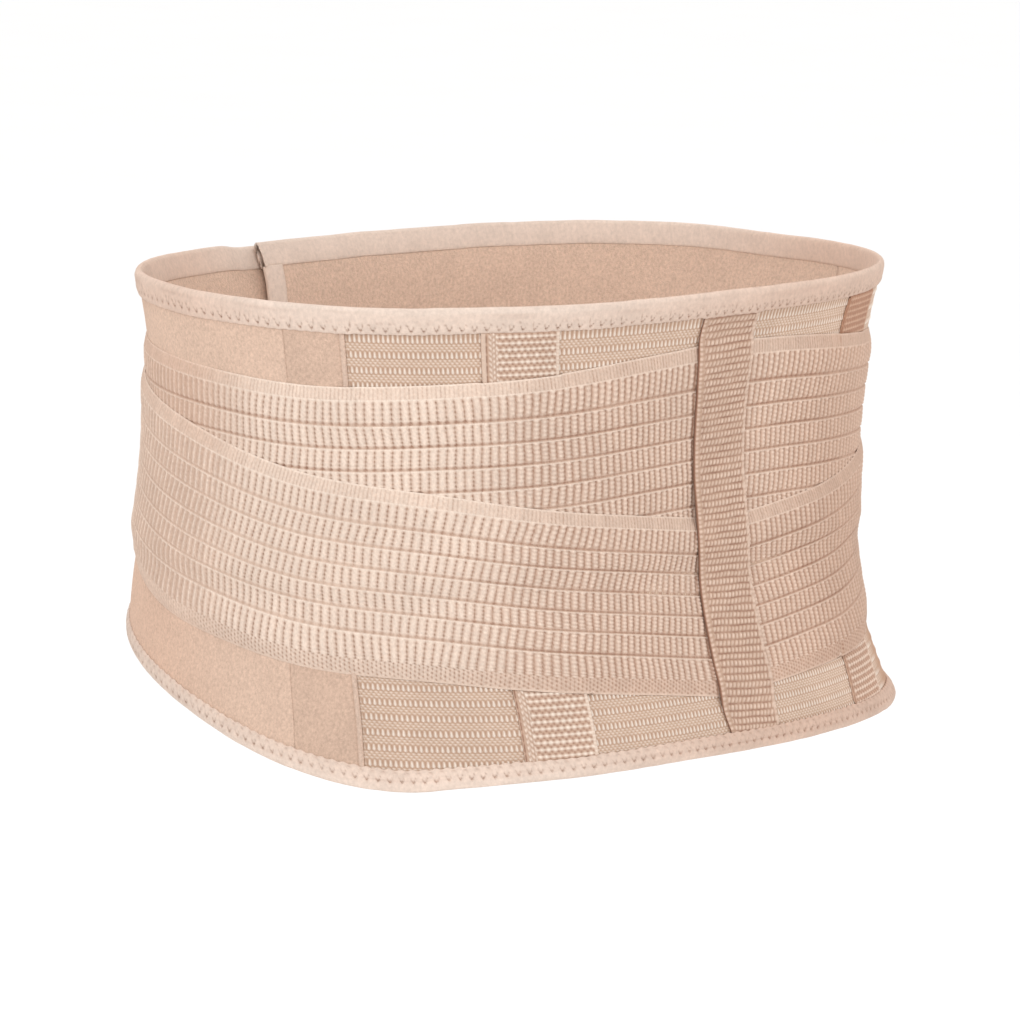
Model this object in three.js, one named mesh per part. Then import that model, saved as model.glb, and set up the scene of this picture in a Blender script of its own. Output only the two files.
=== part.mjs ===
// Maternity support belt, closed as it is worn.
// Millimetres, +Z up, +Y the wearer's front, -X the wearer's left. The origin is on the axis of the
// hollow at the belt's mid height.
//
// Every piece is laid on one hollow waist form. A place on the form is (s, z): s is the distance round
// the body from centre back, measured on the girth at mid height, plus to the wearer's left, and z is
// the height. A third number lifts the place off the form, straight out of its surface: 0 is the outer
// face of the net, and each layer of cloth lies a little further out.

import * as THREE from 'three';

// ---------------------------------------------------------------- driving sizes

const HALF_GIRTH = 480.6;      // half the nominal girth
const SECTION_POWER = 2.373;   // roundness of the waist section: 2 is an ellipse, more is squarer
const STATION = 16;            // step round the body shared by all layers, so that their facets are parallel

const STRIP_STATION = 184;     // one more, between the leaning edges of a side strip

const GAP = 0.5;               // clearance between layers
const NET_THICK = 1.3;
const VELOUR_THICK = 2.2;
const STAY_TAPE_THICK = 1.2;
const CENTRE_TAPE_THICK = 1.6;
const BAND_THICK = 1.6;
const TAB_THICK = 1.8;

const BINDING_WIDTH = 11;      // of each leg of the folded edging on the top and the ends
const BOTTOM_BINDING_WIDTH = 8;
const BINDING_THICK = 0.9;
const BINDING_CREST = 2.0;     // from the folded crest to the cavity that takes the wall
const WALL_INSET = 2.6;        // from the folded crest to the edge of the wall

const STAY_TAPE_HALF = 15.5;
const CENTRE_TAPE_HALF = 15.5;
const BAND_START = 3;          // bands begin this far from centre back, under the centre tape
const BAND_END = 372;
const PANEL_END = 520;         // each wing runs past centre front, the left over the right
const FRONT_LIFT = 5.3;        // how far the left wing is raised where it lies over the right one
const PATCH_GAP = 0.8;          // clearance of the hook patch between the two wings
const FRONT_RAMP = { from: 414, to: 438 };

const TAB = { from: 358, to: 413, middle: 29.5, half: 48, corner: 20 };

// Waist form: half breadth, half depth and shift towards the front, by height.
const BODY = [
  { z: -104, breadth: 180.8, depth: 136.2, shift: -10.4 },
  { z: -92, breadth: 174.4, depth: 139.9, shift: -3.6 },
  { z: -76, breadth: 169.2, depth: 141.2, shift: 2.2 },
  { z: -58, breadth: 166.2, depth: 138.8, shift: 6.6 },
  { z: -38, breadth: 165.2, depth: 134.3, shift: 8.0 },
  { z: -19, breadth: 164.8, depth: 129.4, shift: 7.0 },
  { z: 0, breadth: 165.2, depth: 125.6, shift: 4.8 },
  { z: 19, breadth: 166.2, depth: 123.0, shift: 2.4 },
  { z: 38, breadth: 168.2, depth: 121.1, shift: 0.5 },
  { z: 58, breadth: 171.0, depth: 120.8, shift: -1.2 },
  { z: 76, breadth: 173.6, depth: 122.6, shift: -2.1 },
  { z: 88, breadth: 174.9, depth: 125.8, shift: -2.2 },
  { z: 100, breadth: 174.6, depth: 131.0, shift: -1.4 },
];

// Outline of the belt: heights of the top and bottom crest by distance round the body from centre back.
const OUTLINE = [
  { s: 0, top: 97.9, bottom: -96.5 },
  { s: 45, top: 97.5, bottom: -95.8 },
  { s: 98, top: 97.2, bottom: -96.9 },
  { s: 130, top: 97.3, bottom: -98.3 },
  { s: 154, top: 97.0, bottom: -100.1 },
  { s: 176, top: 97.0, bottom: -99.0 },
  { s: 200, top: 97.2, bottom: -95.4 },
  { s: 231, top: 97.3, bottom: -89.3 },
  { s: 256, top: 97.5, bottom: -82.9 },
  { s: 286, top: 98.4, bottom: -74.8 },
  { s: 313, top: 98.6, bottom: -68.2 },
  { s: 345, top: 98.4, bottom: -61.5 },
  { s: 380, top: 98.0, bottom: -55.8 },
  { s: 430, top: 97.4, bottom: -50.5 },
  { s: 520, top: 97.0, bottom: -48.0 },
];

// Upright lines by height: where the net ends, where the strip meets the wing, middle of a stay tape.
const UPRIGHTS = [
  { z: -104, net: 170.5, seam: 199.0, stay: 91.0 },
  { z: -60, net: 170.5, seam: 199.3, stay: 92.2 },
  { z: 20, net: 174.0, seam: 200.0, stay: 98.5 },
  { z: 100, net: 178.5, seam: 204.5, stay: 105.0 },
];

// Edges of the pull bands by distance from centre back, for each side.
const BANDS_LEFT = [
  { s: 0, upperTop: 75.8, upperBottom: -7.6, lowerTop: -0.2, lowerBottom: -75.0 },
  { s: 20, upperTop: 74.1, upperBottom: -8.4, lowerTop: 2.4, lowerBottom: -71.8 },
  { s: 50, upperTop: 71.7, upperBottom: -10.0, lowerTop: 6.3, lowerBottom: -67.6 },
  { s: 90, upperTop: 67.8, upperBottom: -12.6, lowerTop: 11.6, lowerBottom: -63.3 },
  { s: 140, upperTop: 65.1, upperBottom: -14.4, lowerTop: 20.0, lowerBottom: -57.7 },
  { s: 190, upperTop: 63.6, upperBottom: -16.2, lowerTop: 26.4, lowerBottom: -55.2 },
  { s: 230, upperTop: 65.1, upperBottom: -15.2, lowerTop: 34.6, lowerBottom: -50.4 },
  { s: 270, upperTop: 67.7, upperBottom: -13.6, lowerTop: 44.4, lowerBottom: -43.8 },
  { s: 310, upperTop: 70.7, upperBottom: -11.6, lowerTop: 53.2, lowerBottom: -32.0 },
  { s: 345, upperTop: 73.2, upperBottom: -9.8, lowerTop: 61.8, lowerBottom: -21.0 },
  { s: 372, upperTop: 74.6, upperBottom: -8.6, lowerTop: 70.0, lowerBottom: -15.0 },
];
const BANDS_RIGHT = [
  { s: 0, upperTop: 75.8, upperBottom: -7.6, lowerTop: -0.8, lowerBottom: -73.0 },
  { s: 20, upperTop: 74.9, upperBottom: -8.0, lowerTop: 0.9, lowerBottom: -72.0 },
  { s: 50, upperTop: 73.4, upperBottom: -9.0, lowerTop: 3.4, lowerBottom: -70.4 },
  { s: 90, upperTop: 70.1, upperBottom: -11.0, lowerTop: 7.6, lowerBottom: -68.9 },
  { s: 140, upperTop: 66.2, upperBottom: -13.6, lowerTop: 15.5, lowerBottom: -63.6 },
  { s: 190, upperTop: 64.2, upperBottom: -15.8, lowerTop: 24.0, lowerBottom: -57.8 },
  { s: 230, upperTop: 65.2, upperBottom: -15.2, lowerTop: 33.4, lowerBottom: -51.4 },
  { s: 270, upperTop: 67.7, upperBottom: -13.6, lowerTop: 43.8, lowerBottom: -44.0 },
  { s: 310, upperTop: 70.7, upperBottom: -11.6, lowerTop: 53.2, lowerBottom: -32.0 },
  { s: 345, upperTop: 73.2, upperBottom: -9.8, lowerTop: 61.8, lowerBottom: -21.0 },
  { s: 372, upperTop: 74.6, upperBottom: -8.6, lowerTop: 70.0, lowerBottom: -15.0 },
];

// Under face of a band where nothing but the walls and stay tapes lies below it, by distance from centre back.
const BAND_BED = [
  { s: 0, lift: 0.7 },
  { s: 42, lift: 0.7 },
  { s: 66, lift: 2.3 },
  { s: 132, lift: 2.3 },
  { s: 154, lift: 2.0 },
  { s: 210, lift: 1.9 },
  { s: 236, lift: 1.5 },
  { s: 372, lift: 1.5 },
];

// Under face of the centre tape by height: down on the net at its ends, over the crossing bands between.
const CENTRE_BED = [
  { z: -87.4, lift: 1.6 },
  { z: -77, lift: 2.95 },
  { z: -50, lift: 3.0 },
  { z: -28, lift: 3.2 },
  { z: -11, lift: 5.0 },
  { z: 3, lift: 5.0 },
  { z: 20, lift: 3.3 },
  { z: 42, lift: 3.0 },
  { z: 60, lift: 3.0 },
  { z: 77.5, lift: 2.95 },
  { z: 86, lift: 0.8 },
];

// Under face of an end tab by distance from centre back: over the ends of its two bands, then down on the wing.
const TAB_BED = [
  { s: 358, lift: 6.2 },
  { s: 376, lift: 6.2 },
  { s: 391, lift: 1.6 },
  { s: 413, lift: 1.6 },
];

const COLOURS = {
  net: 0xd3b8a2,
  velour: 0xdfc2ae,
  binding: 0xecd8ca,
  stayTape: 0xd8bca8,
  centreTape: 0xcaa895,
  band: 0xe1c7b6,
  tab: 0xdabda9,
  hook: 0xcfb19c,
};

// ---------------------------------------------------------------- the waist form

// Value of a table's column, straight between its rows.
function straight(table, key, column, at) {
  if (at <= table[0][key]) return table[0][column];
  for (let i = 1; i < table.length; i += 1) {
    if (at <= table[i][key]) {
      const low = table[i - 1];
      const high = table[i];
      return THREE.MathUtils.mapLinear(at, low[key], high[key], low[column], high[column]);
    }
  }
  return table[table.length - 1][column];
}

// Value of a table's column, on a smooth curve through its rows.
function smooth(table, key, column, at) {
  const last = table.length - 1;
  const x = THREE.MathUtils.clamp(at, table[0][key], table[last][key]);
  let i = 0;
  while (i < last - 1 && x > table[i + 1][key]) i += 1;
  const slope = (k) => {
    const low = table[Math.max(k - 1, 0)];
    const high = table[Math.min(k + 1, last)];
    return (high[column] - low[column]) / (high[key] - low[key]);
  };
  const span = table[i + 1][key] - table[i][key];
  const u = (x - table[i][key]) / span;
  const u2 = u * u;
  const u3 = u2 * u;
  return (2 * u3 - 3 * u2 + 1) * table[i][column] + (u3 - 2 * u2 + u) * span * slope(i)
    + (3 * u2 - 2 * u3) * table[i + 1][column] + (u3 - u2) * span * slope(i + 1);
}

const ARC_STEPS = 240;
const sections = new Map();

// One level section of the form from centre back to centre front, with the length along it.
function sectionAt(z) {
  const id = z.toFixed(4);
  if (!sections.has(id)) {
    const breadth = smooth(BODY, 'z', 'breadth', z);
    const depth = smooth(BODY, 'z', 'depth', z);
    const shift = smooth(BODY, 'z', 'shift', z);
    const points = [];
    const length = [0];
    for (let k = 0; k <= ARC_STEPS; k += 1) {
      const angle = Math.PI * k / ARC_STEPS;
      const side = Math.abs(Math.sin(angle));
      const fore = Math.abs(Math.cos(angle));
      const reach = (side ** SECTION_POWER + fore ** SECTION_POWER) ** (-1 / SECTION_POWER);
      points.push(new THREE.Vector2(breadth * reach * Math.sin(angle), shift - depth * reach * Math.cos(angle)));
      if (k > 0) length.push(length[k - 1] + points[k].distanceTo(points[k - 1]));
    }
    sections.set(id, { points, length });
  }
  return sections.get(id);
}

function formPoint(s, z) {
  let share = s / HALF_GIRTH;
  if (share > 1) share -= 2;
  if (share < -1) share += 2;
  const { points, length } = sectionAt(z);
  const target = Math.abs(share) * length[ARC_STEPS];
  let low = 0;
  let high = ARC_STEPS;
  while (high - low > 1) {
    const mid = (low + high) >> 1;
    if (length[mid] <= target) low = mid; else high = mid;
  }
  const p = points[low].clone().lerp(points[high], (target - length[low]) / (length[high] - length[low]));
  return new THREE.Vector3(-Math.sign(share) * p.x, p.y, z);
}

// A place lifted off the form, straight out of its surface.
function place(s, z, lift) {
  const round = formPoint(s + 2, z).sub(formPoint(s - 2, z));
  const rise = formPoint(s, z + 2).sub(formPoint(s, z - 2));
  return formPoint(s, z).addScaledVector(rise.cross(round).normalize(), lift);
}

const topCrest = (s) => smooth(OUTLINE, 's', 'top', Math.abs(s));
// The bottom edge hangs a little lower on the right of the back than on the left.
const bottomDrop = (s) => 1.6 * THREE.MathUtils.smoothstep(-s, 0, 45) * (1 - THREE.MathUtils.smoothstep(-s, 110, 170));
const bottomCrest = (s) => smooth(OUTLINE, 's', 'bottom', Math.abs(s)) - bottomDrop(s);
const frontLift = (s) => FRONT_LIFT * THREE.MathUtils.smoothstep(s, FRONT_RAMP.from, FRONT_RAMP.to);

// The shared stations between two places, with the two places as its ends.
function stations(from, to) {
  const list = [];
  for (let k = Math.ceil(from / STATION); k * STATION < to; k += 1) list.push(k * STATION);
  list.push(-STRIP_STATION, STRIP_STATION);
  list.sort((a, b) => a - b);
  return [from, ...list.filter((s) => s - from > 3 && to - s > 3), to];
}

// ---------------------------------------------------------------- solids

function solid(vertices, faces) {
  let volume = 0;
  for (const [a, b, c] of faces) {
    volume += vertices[a].dot(vertices[b].clone().cross(vertices[c]));
  }
  const geometry = new THREE.BufferGeometry();
  geometry.setAttribute('position', new THREE.Float32BufferAttribute(vertices.flatMap((v) => [v.x, v.y, v.z]), 3));
  geometry.setIndex(faces.flatMap(([a, b, c]) => (volume > 0 ? [a, b, c] : [a, c, b])));
  geometry.computeVertexNormals();
  return geometry;
}

// A wall of cloth on a grid of columns and rows: at(i, j) gives its place and the lift of its two faces.
function cloth(columns, rows, at) {
  const vertices = [];
  for (let i = 0; i <= columns; i += 1) {
    for (let j = 0; j <= rows; j += 1) {
      const { s, z, under, over } = at(i, j);
      vertices.push(place(s, z, over), place(s, z, under));
    }
  }
  const over = (i, j) => 2 * (i * (rows + 1) + j);
  const under = (i, j) => over(i, j) + 1;
  const faces = [];
  const quad = (a, b, c, d) => faces.push([a, b, c], [a, c, d]);
  for (let i = 0; i < columns; i += 1) {
    for (let j = 0; j < rows; j += 1) {
      quad(over(i, j), over(i, j + 1), over(i + 1, j + 1), over(i + 1, j));
      quad(under(i, j), under(i + 1, j), under(i + 1, j + 1), under(i, j + 1));
    }
    quad(over(i, 0), over(i + 1, 0), under(i + 1, 0), under(i, 0));
    quad(over(i, rows), under(i, rows), under(i + 1, rows), over(i + 1, rows));
  }
  for (let j = 0; j < rows; j += 1) {
    quad(over(0, j), under(0, j), under(0, j + 1), over(0, j + 1));
    quad(over(columns, j), over(columns, j + 1), under(columns, j + 1), under(columns, j));
  }
  return solid(vertices, faces);
}

// Outline of a folded edging: lift, and distance back from the crest.
function bindingOutline(width) {
  const outside = VELOUR_THICK - NET_THICK + 0.4;
  const inside = -NET_THICK - 0.4;
  return [
    { lift: outside + BINDING_THICK, back: width },
    { lift: outside + BINDING_THICK, back: 1.6 },
    { lift: (outside + inside) / 2, back: 0 },
    { lift: inside - BINDING_THICK, back: 1.6 },
    { lift: inside - BINDING_THICK, back: width },
    { lift: inside, back: width },
    { lift: inside, back: BINDING_CREST },
    { lift: outside, back: BINDING_CREST },
    { lift: outside, back: width },
  ];
}

// A folded edging swept through a number of steps: at(k, back) gives the place and its own lift.
function edging(width, steps, at) {
  const outline = bindingOutline(width);
  const ring = outline.length;
  const vertices = [];
  for (let k = 0; k <= steps; k += 1) {
    for (const { lift, back } of outline) {
      const { s, z, base } = at(k, back);
      vertices.push(place(s, z, base + lift));
    }
  }
  const faces = [];
  for (let k = 0; k < steps; k += 1) {
    for (let m = 0; m < ring; m += 1) {
      const n = (m + 1) % ring;
      const near = k * ring;
      const far = near + ring;
      faces.push([near + m, near + n, far + n], [near + m, far + n, far + m]);
    }
  }
  const flat = outline.map(({ lift, back }) => new THREE.Vector2(lift, back));
  const turn = Math.sign(THREE.ShapeUtils.area(flat));
  for (const [a, b, c] of THREE.ShapeUtils.triangulateShape(flat, [])) {
    const along = Math.sign(THREE.ShapeUtils.area([flat[a], flat[b], flat[c]])) === turn;
    const [first, second, third] = along ? [a, b, c] : [a, c, b];
    const far = steps * ring;
    faces.push([first, third, second], [far + first, far + second, far + third]);
  }
  return solid(vertices, faces);
}

const belt = new THREE.Group();

function add(name, geometry, colour, roughness = 0.9) {
  const mesh = new THREE.Mesh(geometry, new THREE.MeshStandardMaterial({ color: colour, roughness, metalness: 0 }));
  mesh.name = name;
  belt.add(mesh);
}

// ---------------------------------------------------------------- walls

// A wall's rows: its two edges inside the edging, the feet of the edging's legs, and even rows between those.
const WALL_ROWS = 10;
function wallHeight(s, row) {
  const low = bottomCrest(s);
  const high = topCrest(s);
  if (row === 0) return low + WALL_INSET;
  if (row === WALL_ROWS) return high - WALL_INSET;
  return THREE.MathUtils.mapLinear(row, 1, WALL_ROWS - 1, low + BOTTOM_BINDING_WIDTH, high - BINDING_WIDTH);
}

const upright = (name, z) => smooth(UPRIGHTS, 'z', name, z);

// A wall's row on one of the upright lines, moved off it by a clearance: the line leans, so the height
// is worked out where the row meets it.
function onUpright(name, sign, clear, row) {
  const guess = upright(name, wallHeight(upright(name, 0), row));
  const z = wallHeight(guess + clear, row);
  return { s: sign * (upright(name, z) + clear), z };
}

{
  const across = stations(-upright('net', -60), upright('net', -60));
  const last = across.length - 1;
  add('back_net', cloth(last, WALL_ROWS, (i, j) => {
    let at = { s: across[i], z: wallHeight(across[i], j) };
    if (i === 0) at = onUpright('net', -1, -0.25, j);
    if (i === last) at = onUpright('net', 1, -0.25, j);
    return { ...at, under: -NET_THICK, over: 0 };
  }), COLOURS.net);
}

for (const [side, sign] of [['left', 1], ['right', -1]]) {
  const velourOver = VELOUR_THICK - NET_THICK;

  const strip = stations(upright('net', 100), upright('seam', -100));
  const stripAcross = sign > 0 ? strip : strip.map((s) => -s).reverse();
  const stripLast = stripAcross.length - 1;
  add(`side_strip_${side}`, cloth(stripLast, WALL_ROWS, (i, j) => {
    let at = { s: stripAcross[i], z: wallHeight(stripAcross[i], j) };
    if (i === (sign > 0 ? 0 : stripLast)) at = onUpright('net', sign, 0.25, j);
    if (i === (sign > 0 ? stripLast : 0)) at = onUpright('seam', sign, -0.2, j);
    return { ...at, under: -NET_THICK, over: velourOver };
  }), COLOURS.velour);

  const end = PANEL_END - WALL_INSET;
  const round = stations(upright('seam', 100), end);
  const across = sign > 0 ? round : round.map((s) => -s).reverse();
  const seamColumn = sign > 0 ? 0 : across.length - 1;
  add(`side_panel_${side}`, cloth(across.length - 1, WALL_ROWS, (i, j) => {
    const at = i === seamColumn ? onUpright('seam', sign, 0.2, j) : { s: across[i], z: wallHeight(across[i], j) };
    const base = frontLift(at.s);
    return { ...at, under: base - NET_THICK, over: base + velourOver };
  }), COLOURS.velour);

  const endRows = 10;
  add(`end_binding_${side}`, edging(BINDING_WIDTH, endRows, (k, back) => {
    const s = PANEL_END - back;
    const low = bottomCrest(s) + BOTTOM_BINDING_WIDTH + GAP;
    const high = topCrest(s) - BINDING_WIDTH - GAP;
    return { s: sign * s, z: THREE.MathUtils.lerp(low, high, k / endRows), base: frontLift(sign * s) };
  }), COLOURS.binding);
}

{
  const across = stations(-PANEL_END, PANEL_END);
  add('top_binding', edging(BINDING_WIDTH, across.length - 1, (k, back) => (
    { s: across[k], z: topCrest(across[k]) - back, base: frontLift(across[k]) }
  )), COLOURS.binding);
  add('bottom_binding', edging(BOTTOM_BINDING_WIDTH, across.length - 1, (k, back) => (
    { s: across[k], z: bottomCrest(across[k]) + back, base: frontLift(across[k]) }
  )), COLOURS.binding);
}

{
  const from = 2 * HALF_GIRTH - PANEL_END + BINDING_WIDTH + 1;
  const to = PANEL_END - BINDING_WIDTH - 1;
  const across = stations(from, to);
  const rows = 8;
  add('front_hook_patch', cloth(across.length - 1, rows, (i, j) => ({
    s: across[i],
    z: THREE.MathUtils.lerp(bottomCrest(across[i]) + 15, topCrest(across[i]) - 15, j / rows),
    under: VELOUR_THICK - NET_THICK + PATCH_GAP,
    over: FRONT_LIFT - NET_THICK - PATCH_GAP,
  })), COLOURS.hook);
}

// ---------------------------------------------------------------- tapes on the back

for (const [side, sign] of [['left', 1], ['right', -1]]) {
  const columns = 3;
  const rows = 11;
  add(`stay_tape_${side}`, cloth(columns, rows, (i, j) => {
    const off = THREE.MathUtils.lerp(-STAY_TAPE_HALF, STAY_TAPE_HALF, i / columns);
    const low = bottomCrest(sign * upright('stay', -90) + off) + BOTTOM_BINDING_WIDTH + GAP;
    const high = topCrest(sign * upright('stay', 90) + off) - BINDING_WIDTH - GAP;
    const z = THREE.MathUtils.lerp(low, high, j / rows);
    const s = sign * upright('stay', z) + off;
    return { s, z, under: GAP, over: GAP + STAY_TAPE_THICK };
  }), COLOURS.stayTape);
}

{
  const columns = 2;
  const rows = CENTRE_BED.length - 1;
  add('centre_tape', cloth(columns, rows, (i, j) => {
    const { z, lift } = CENTRE_BED[j];
    const s = THREE.MathUtils.lerp(-CENTRE_TAPE_HALF, CENTRE_TAPE_HALF, i / columns);
    return { s, z, under: lift, over: lift + CENTRE_TAPE_THICK };
  }), COLOURS.centreTape);
}

// ---------------------------------------------------------------- pull bands and their tabs

for (const [side, sign, table] of [['left', 1, BANDS_LEFT], ['right', -1, BANDS_RIGHT]]) {
  const edge = (column, s) => smooth(table, 's', column, Math.abs(s));
  const bed = (s) => straight(BAND_BED, 's', 'lift', Math.abs(s));
  const round = stations(BAND_START, BAND_END);
  const across = sign > 0 ? round : round.map((s) => -s).reverse();

  const upperRows = 4;
  add(`band_upper_${side}`, cloth(across.length - 1, upperRows, (i, j) => {
    const s = across[i];
    const z = THREE.MathUtils.lerp(edge('upperBottom', s), edge('upperTop', s), j / upperRows);
    return { s, z, under: bed(s), over: bed(s) + BAND_THICK };
  }), COLOURS.band);

  // The lower band lies on the walls up to the hidden bottom edge of the upper band, then climbs on to it.
  const climb = (s) => {
    const bottom = edge('lowerBottom', s);
    const foot = edge('upperBottom', s) - 2;
    const onto = Math.max(foot, bottom + 4);
    const start = Math.max(foot - 12, bottom + 2);
    const top = edge('lowerTop', s);
    const over = BAND_THICK + GAP;
    const share = (z) => THREE.MathUtils.clamp((z - (foot - 12)) / 12, 0, 1);
    return [
      { z: bottom, lift: over * share(bottom) },
      { z: THREE.MathUtils.lerp(bottom, start, 0.5), lift: over * share(THREE.MathUtils.lerp(bottom, start, 0.5)) },
      { z: start, lift: over * share(start) },
      { z: onto, lift: over * share(onto) },
      ...[0.34, 0.67, 1].map((v) => ({ z: THREE.MathUtils.lerp(onto, top, v), lift: over })),
    ];
  };
  const lowerRows = climb(BAND_START).length - 1;
  add(`band_lower_${side}`, cloth(across.length - 1, lowerRows, (i, j) => {
    const s = across[i];
    const { z, lift } = climb(s)[j];
    return { s, z, under: bed(s) + lift, over: bed(s) + lift + BAND_THICK };
  }), COLOURS.band);

  const tabRound = [358, 368, 376, 384, 391, 400, 406, 410, 412, 413];
  const tabAcross = sign > 0 ? tabRound : tabRound.map((s) => -s).reverse();
  const tabRows = 5;
  const halfHeight = (s) => {
    const into = Math.max(Math.abs(s) - (TAB.to - TAB.corner), 0);
    return TAB.half - TAB.corner + Math.sqrt(Math.max(TAB.corner ** 2 - into ** 2, 0));
  };
  add(`band_tab_${side}`, cloth(tabAcross.length - 1, tabRows, (i, j) => {
    const s = tabAcross[i];
    const z = TAB.middle + halfHeight(s) * THREE.MathUtils.lerp(-1, 1, j / tabRows);
    const lift = straight(TAB_BED, 's', 'lift', Math.abs(s));
    return { s, z, under: lift, over: lift + TAB_THICK };
  }), COLOURS.tab);
}

export default belt;
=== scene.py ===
import math

import bpy
import numpy as np
from mathutils import Matrix, Vector


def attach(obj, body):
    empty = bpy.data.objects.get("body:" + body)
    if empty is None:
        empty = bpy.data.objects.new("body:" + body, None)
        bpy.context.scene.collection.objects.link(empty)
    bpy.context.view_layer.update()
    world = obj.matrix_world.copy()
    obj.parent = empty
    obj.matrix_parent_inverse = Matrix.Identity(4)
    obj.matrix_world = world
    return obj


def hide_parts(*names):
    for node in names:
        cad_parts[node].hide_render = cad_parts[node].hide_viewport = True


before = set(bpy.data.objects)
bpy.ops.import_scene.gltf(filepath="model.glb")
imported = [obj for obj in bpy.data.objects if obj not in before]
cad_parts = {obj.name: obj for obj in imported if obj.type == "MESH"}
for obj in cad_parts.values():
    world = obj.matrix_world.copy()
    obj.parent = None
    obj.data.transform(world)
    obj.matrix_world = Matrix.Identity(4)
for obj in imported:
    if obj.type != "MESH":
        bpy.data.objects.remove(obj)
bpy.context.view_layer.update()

# Lengths below are millimetres until a mesh is made. A place on the belt is (s, z, lift): s is the way
# round the body from centre back, plus to the wearer's left, z the height, and lift the distance off
# the outer face of the net, straight out of the surface. The form's tables are those of the CAD source.

# ------------------------------------------------------------------ the waist form

HALF_GIRTH = 480.6
SECTION_POWER = 2.373
PANEL_END = 520.0
FRONT_LIFT = 5.3
NET_END = 173.0
TOP_WIDTH = 11.0
BOTTOM_WIDTH = 8.0
WALL_INSET = 2.6
BAND_START, BAND_END = 3.0, 372.0
BAND_THICK = 1.6


def smooth(xs, ys):
    """A smooth curve through the rows of a table, as a function."""
    xs, ys = np.array(xs, float), np.array(ys, float)
    slope = np.empty_like(ys)
    slope[1:-1] = (ys[2:] - ys[:-2]) / (xs[2:] - xs[:-2])
    slope[0] = (ys[1] - ys[0]) / (xs[1] - xs[0])
    slope[-1] = (ys[-1] - ys[-2]) / (xs[-1] - xs[-2])

    def at(x):
        x = np.clip(x, xs[0], xs[-1])
        i = np.clip(np.searchsorted(xs, x, side="right") - 1, 0, len(xs) - 2)
        span = xs[i + 1] - xs[i]
        u = (x - xs[i]) / span
        return (
            (2 * u**3 - 3 * u**2 + 1) * ys[i]
            + (u**3 - 2 * u**2 + u) * span * slope[i]
            + (3 * u**2 - 2 * u**3) * ys[i + 1]
            + (u**3 - u**2) * span * slope[i + 1]
        )

    return at


def step(x, low, high):
    u = np.clip((x - low) / (high - low), 0, 1)
    return u * u * (3 - 2 * u)


BODY = np.array(
    [  # z, half breadth, half depth, shift to the front
        (-104, 180.8, 136.2, -10.4),
        (-92, 174.4, 139.9, -3.6),
        (-76, 169.2, 141.2, 2.2),
        (-58, 166.2, 138.8, 6.6),
        (-38, 165.2, 134.3, 8.0),
        (-19, 164.8, 129.4, 7.0),
        (0, 165.2, 125.6, 4.8),
        (19, 166.2, 123.0, 2.4),
        (38, 168.2, 121.1, 0.5),
        (58, 171.0, 120.8, -1.2),
        (76, 173.6, 122.6, -2.1),
        (88, 174.9, 125.8, -2.2),
        (100, 174.6, 131.0, -1.4),
    ]
)
breadth_at = smooth(BODY[:, 0], BODY[:, 1])
depth_at = smooth(BODY[:, 0], BODY[:, 2])
shift_at = smooth(BODY[:, 0], BODY[:, 3])

OUTLINE = np.array(
    [  # s, top crest, bottom crest
        (0, 97.9, -96.5),
        (45, 97.5, -95.8),
        (98, 97.2, -96.9),
        (130, 97.3, -98.3),
        (154, 97.0, -100.1),
        (176, 97.0, -99.0),
        (200, 97.2, -95.4),
        (231, 97.3, -89.3),
        (256, 97.5, -82.9),
        (286, 98.4, -74.8),
        (313, 98.6, -68.2),
        (345, 98.4, -61.5),
        (380, 98.0, -55.8),
        (430, 97.4, -50.5),
        (520, 97.0, -48.0),
    ]
)
top_of_side = smooth(OUTLINE[:, 0], OUTLINE[:, 1])
bottom_of_side = smooth(OUTLINE[:, 0], OUTLINE[:, 2])


def top_crest(s):
    return top_of_side(np.abs(s))


def bottom_crest(s):
    """The bottom edge hangs a little lower on the right of the back than on the left."""
    drop = 1.6 * step(-s, 0, 45) * (1 - step(-s, 110, 170))
    return bottom_of_side(np.abs(s)) - drop


UPRIGHTS = np.array(
    [  # z, end of the net, casing seam, middle of a stay tape
        (-104, 170.5, 199.0, 91.0),
        (-60, 170.5, 199.3, 92.2),
        (20, 174.0, 200.0, 98.5),
        (100, 178.5, 204.5, 105.0),
    ]
)
net_line = smooth(UPRIGHTS[:, 0], UPRIGHTS[:, 1])
seam_line = smooth(UPRIGHTS[:, 0], UPRIGHTS[:, 2])
stay_line = smooth(UPRIGHTS[:, 0], UPRIGHTS[:, 3])


def tape_wider(z):
    """How much wider the left stay tape is towards its top."""
    return 3.0 * step(z, -40, 60)


def front_lift(s):
    return FRONT_LIFT * step(s, 414, 438)


# The angle at each share of a section's length, for a range of depth to breadth.
ASPECTS = np.linspace(0.62, 0.92, 31)
SHARES = np.linspace(0, 1, 1601)
TURN = np.empty((len(ASPECTS), len(SHARES)))
_angle = np.linspace(0, math.pi, 6001)
_reach = (np.sin(_angle) ** SECTION_POWER + np.abs(np.cos(_angle)) ** SECTION_POWER) ** (-1 / SECTION_POWER)
for _k, _a in enumerate(ASPECTS):
    _p = np.stack([_reach * np.sin(_angle), -_a * _reach * np.cos(_angle)], 1)
    _l = np.concatenate([[0], np.cumsum(np.linalg.norm(np.diff(_p, axis=0), axis=1))])
    TURN[_k] = np.interp(SHARES, _l / _l[-1], _angle)


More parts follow.
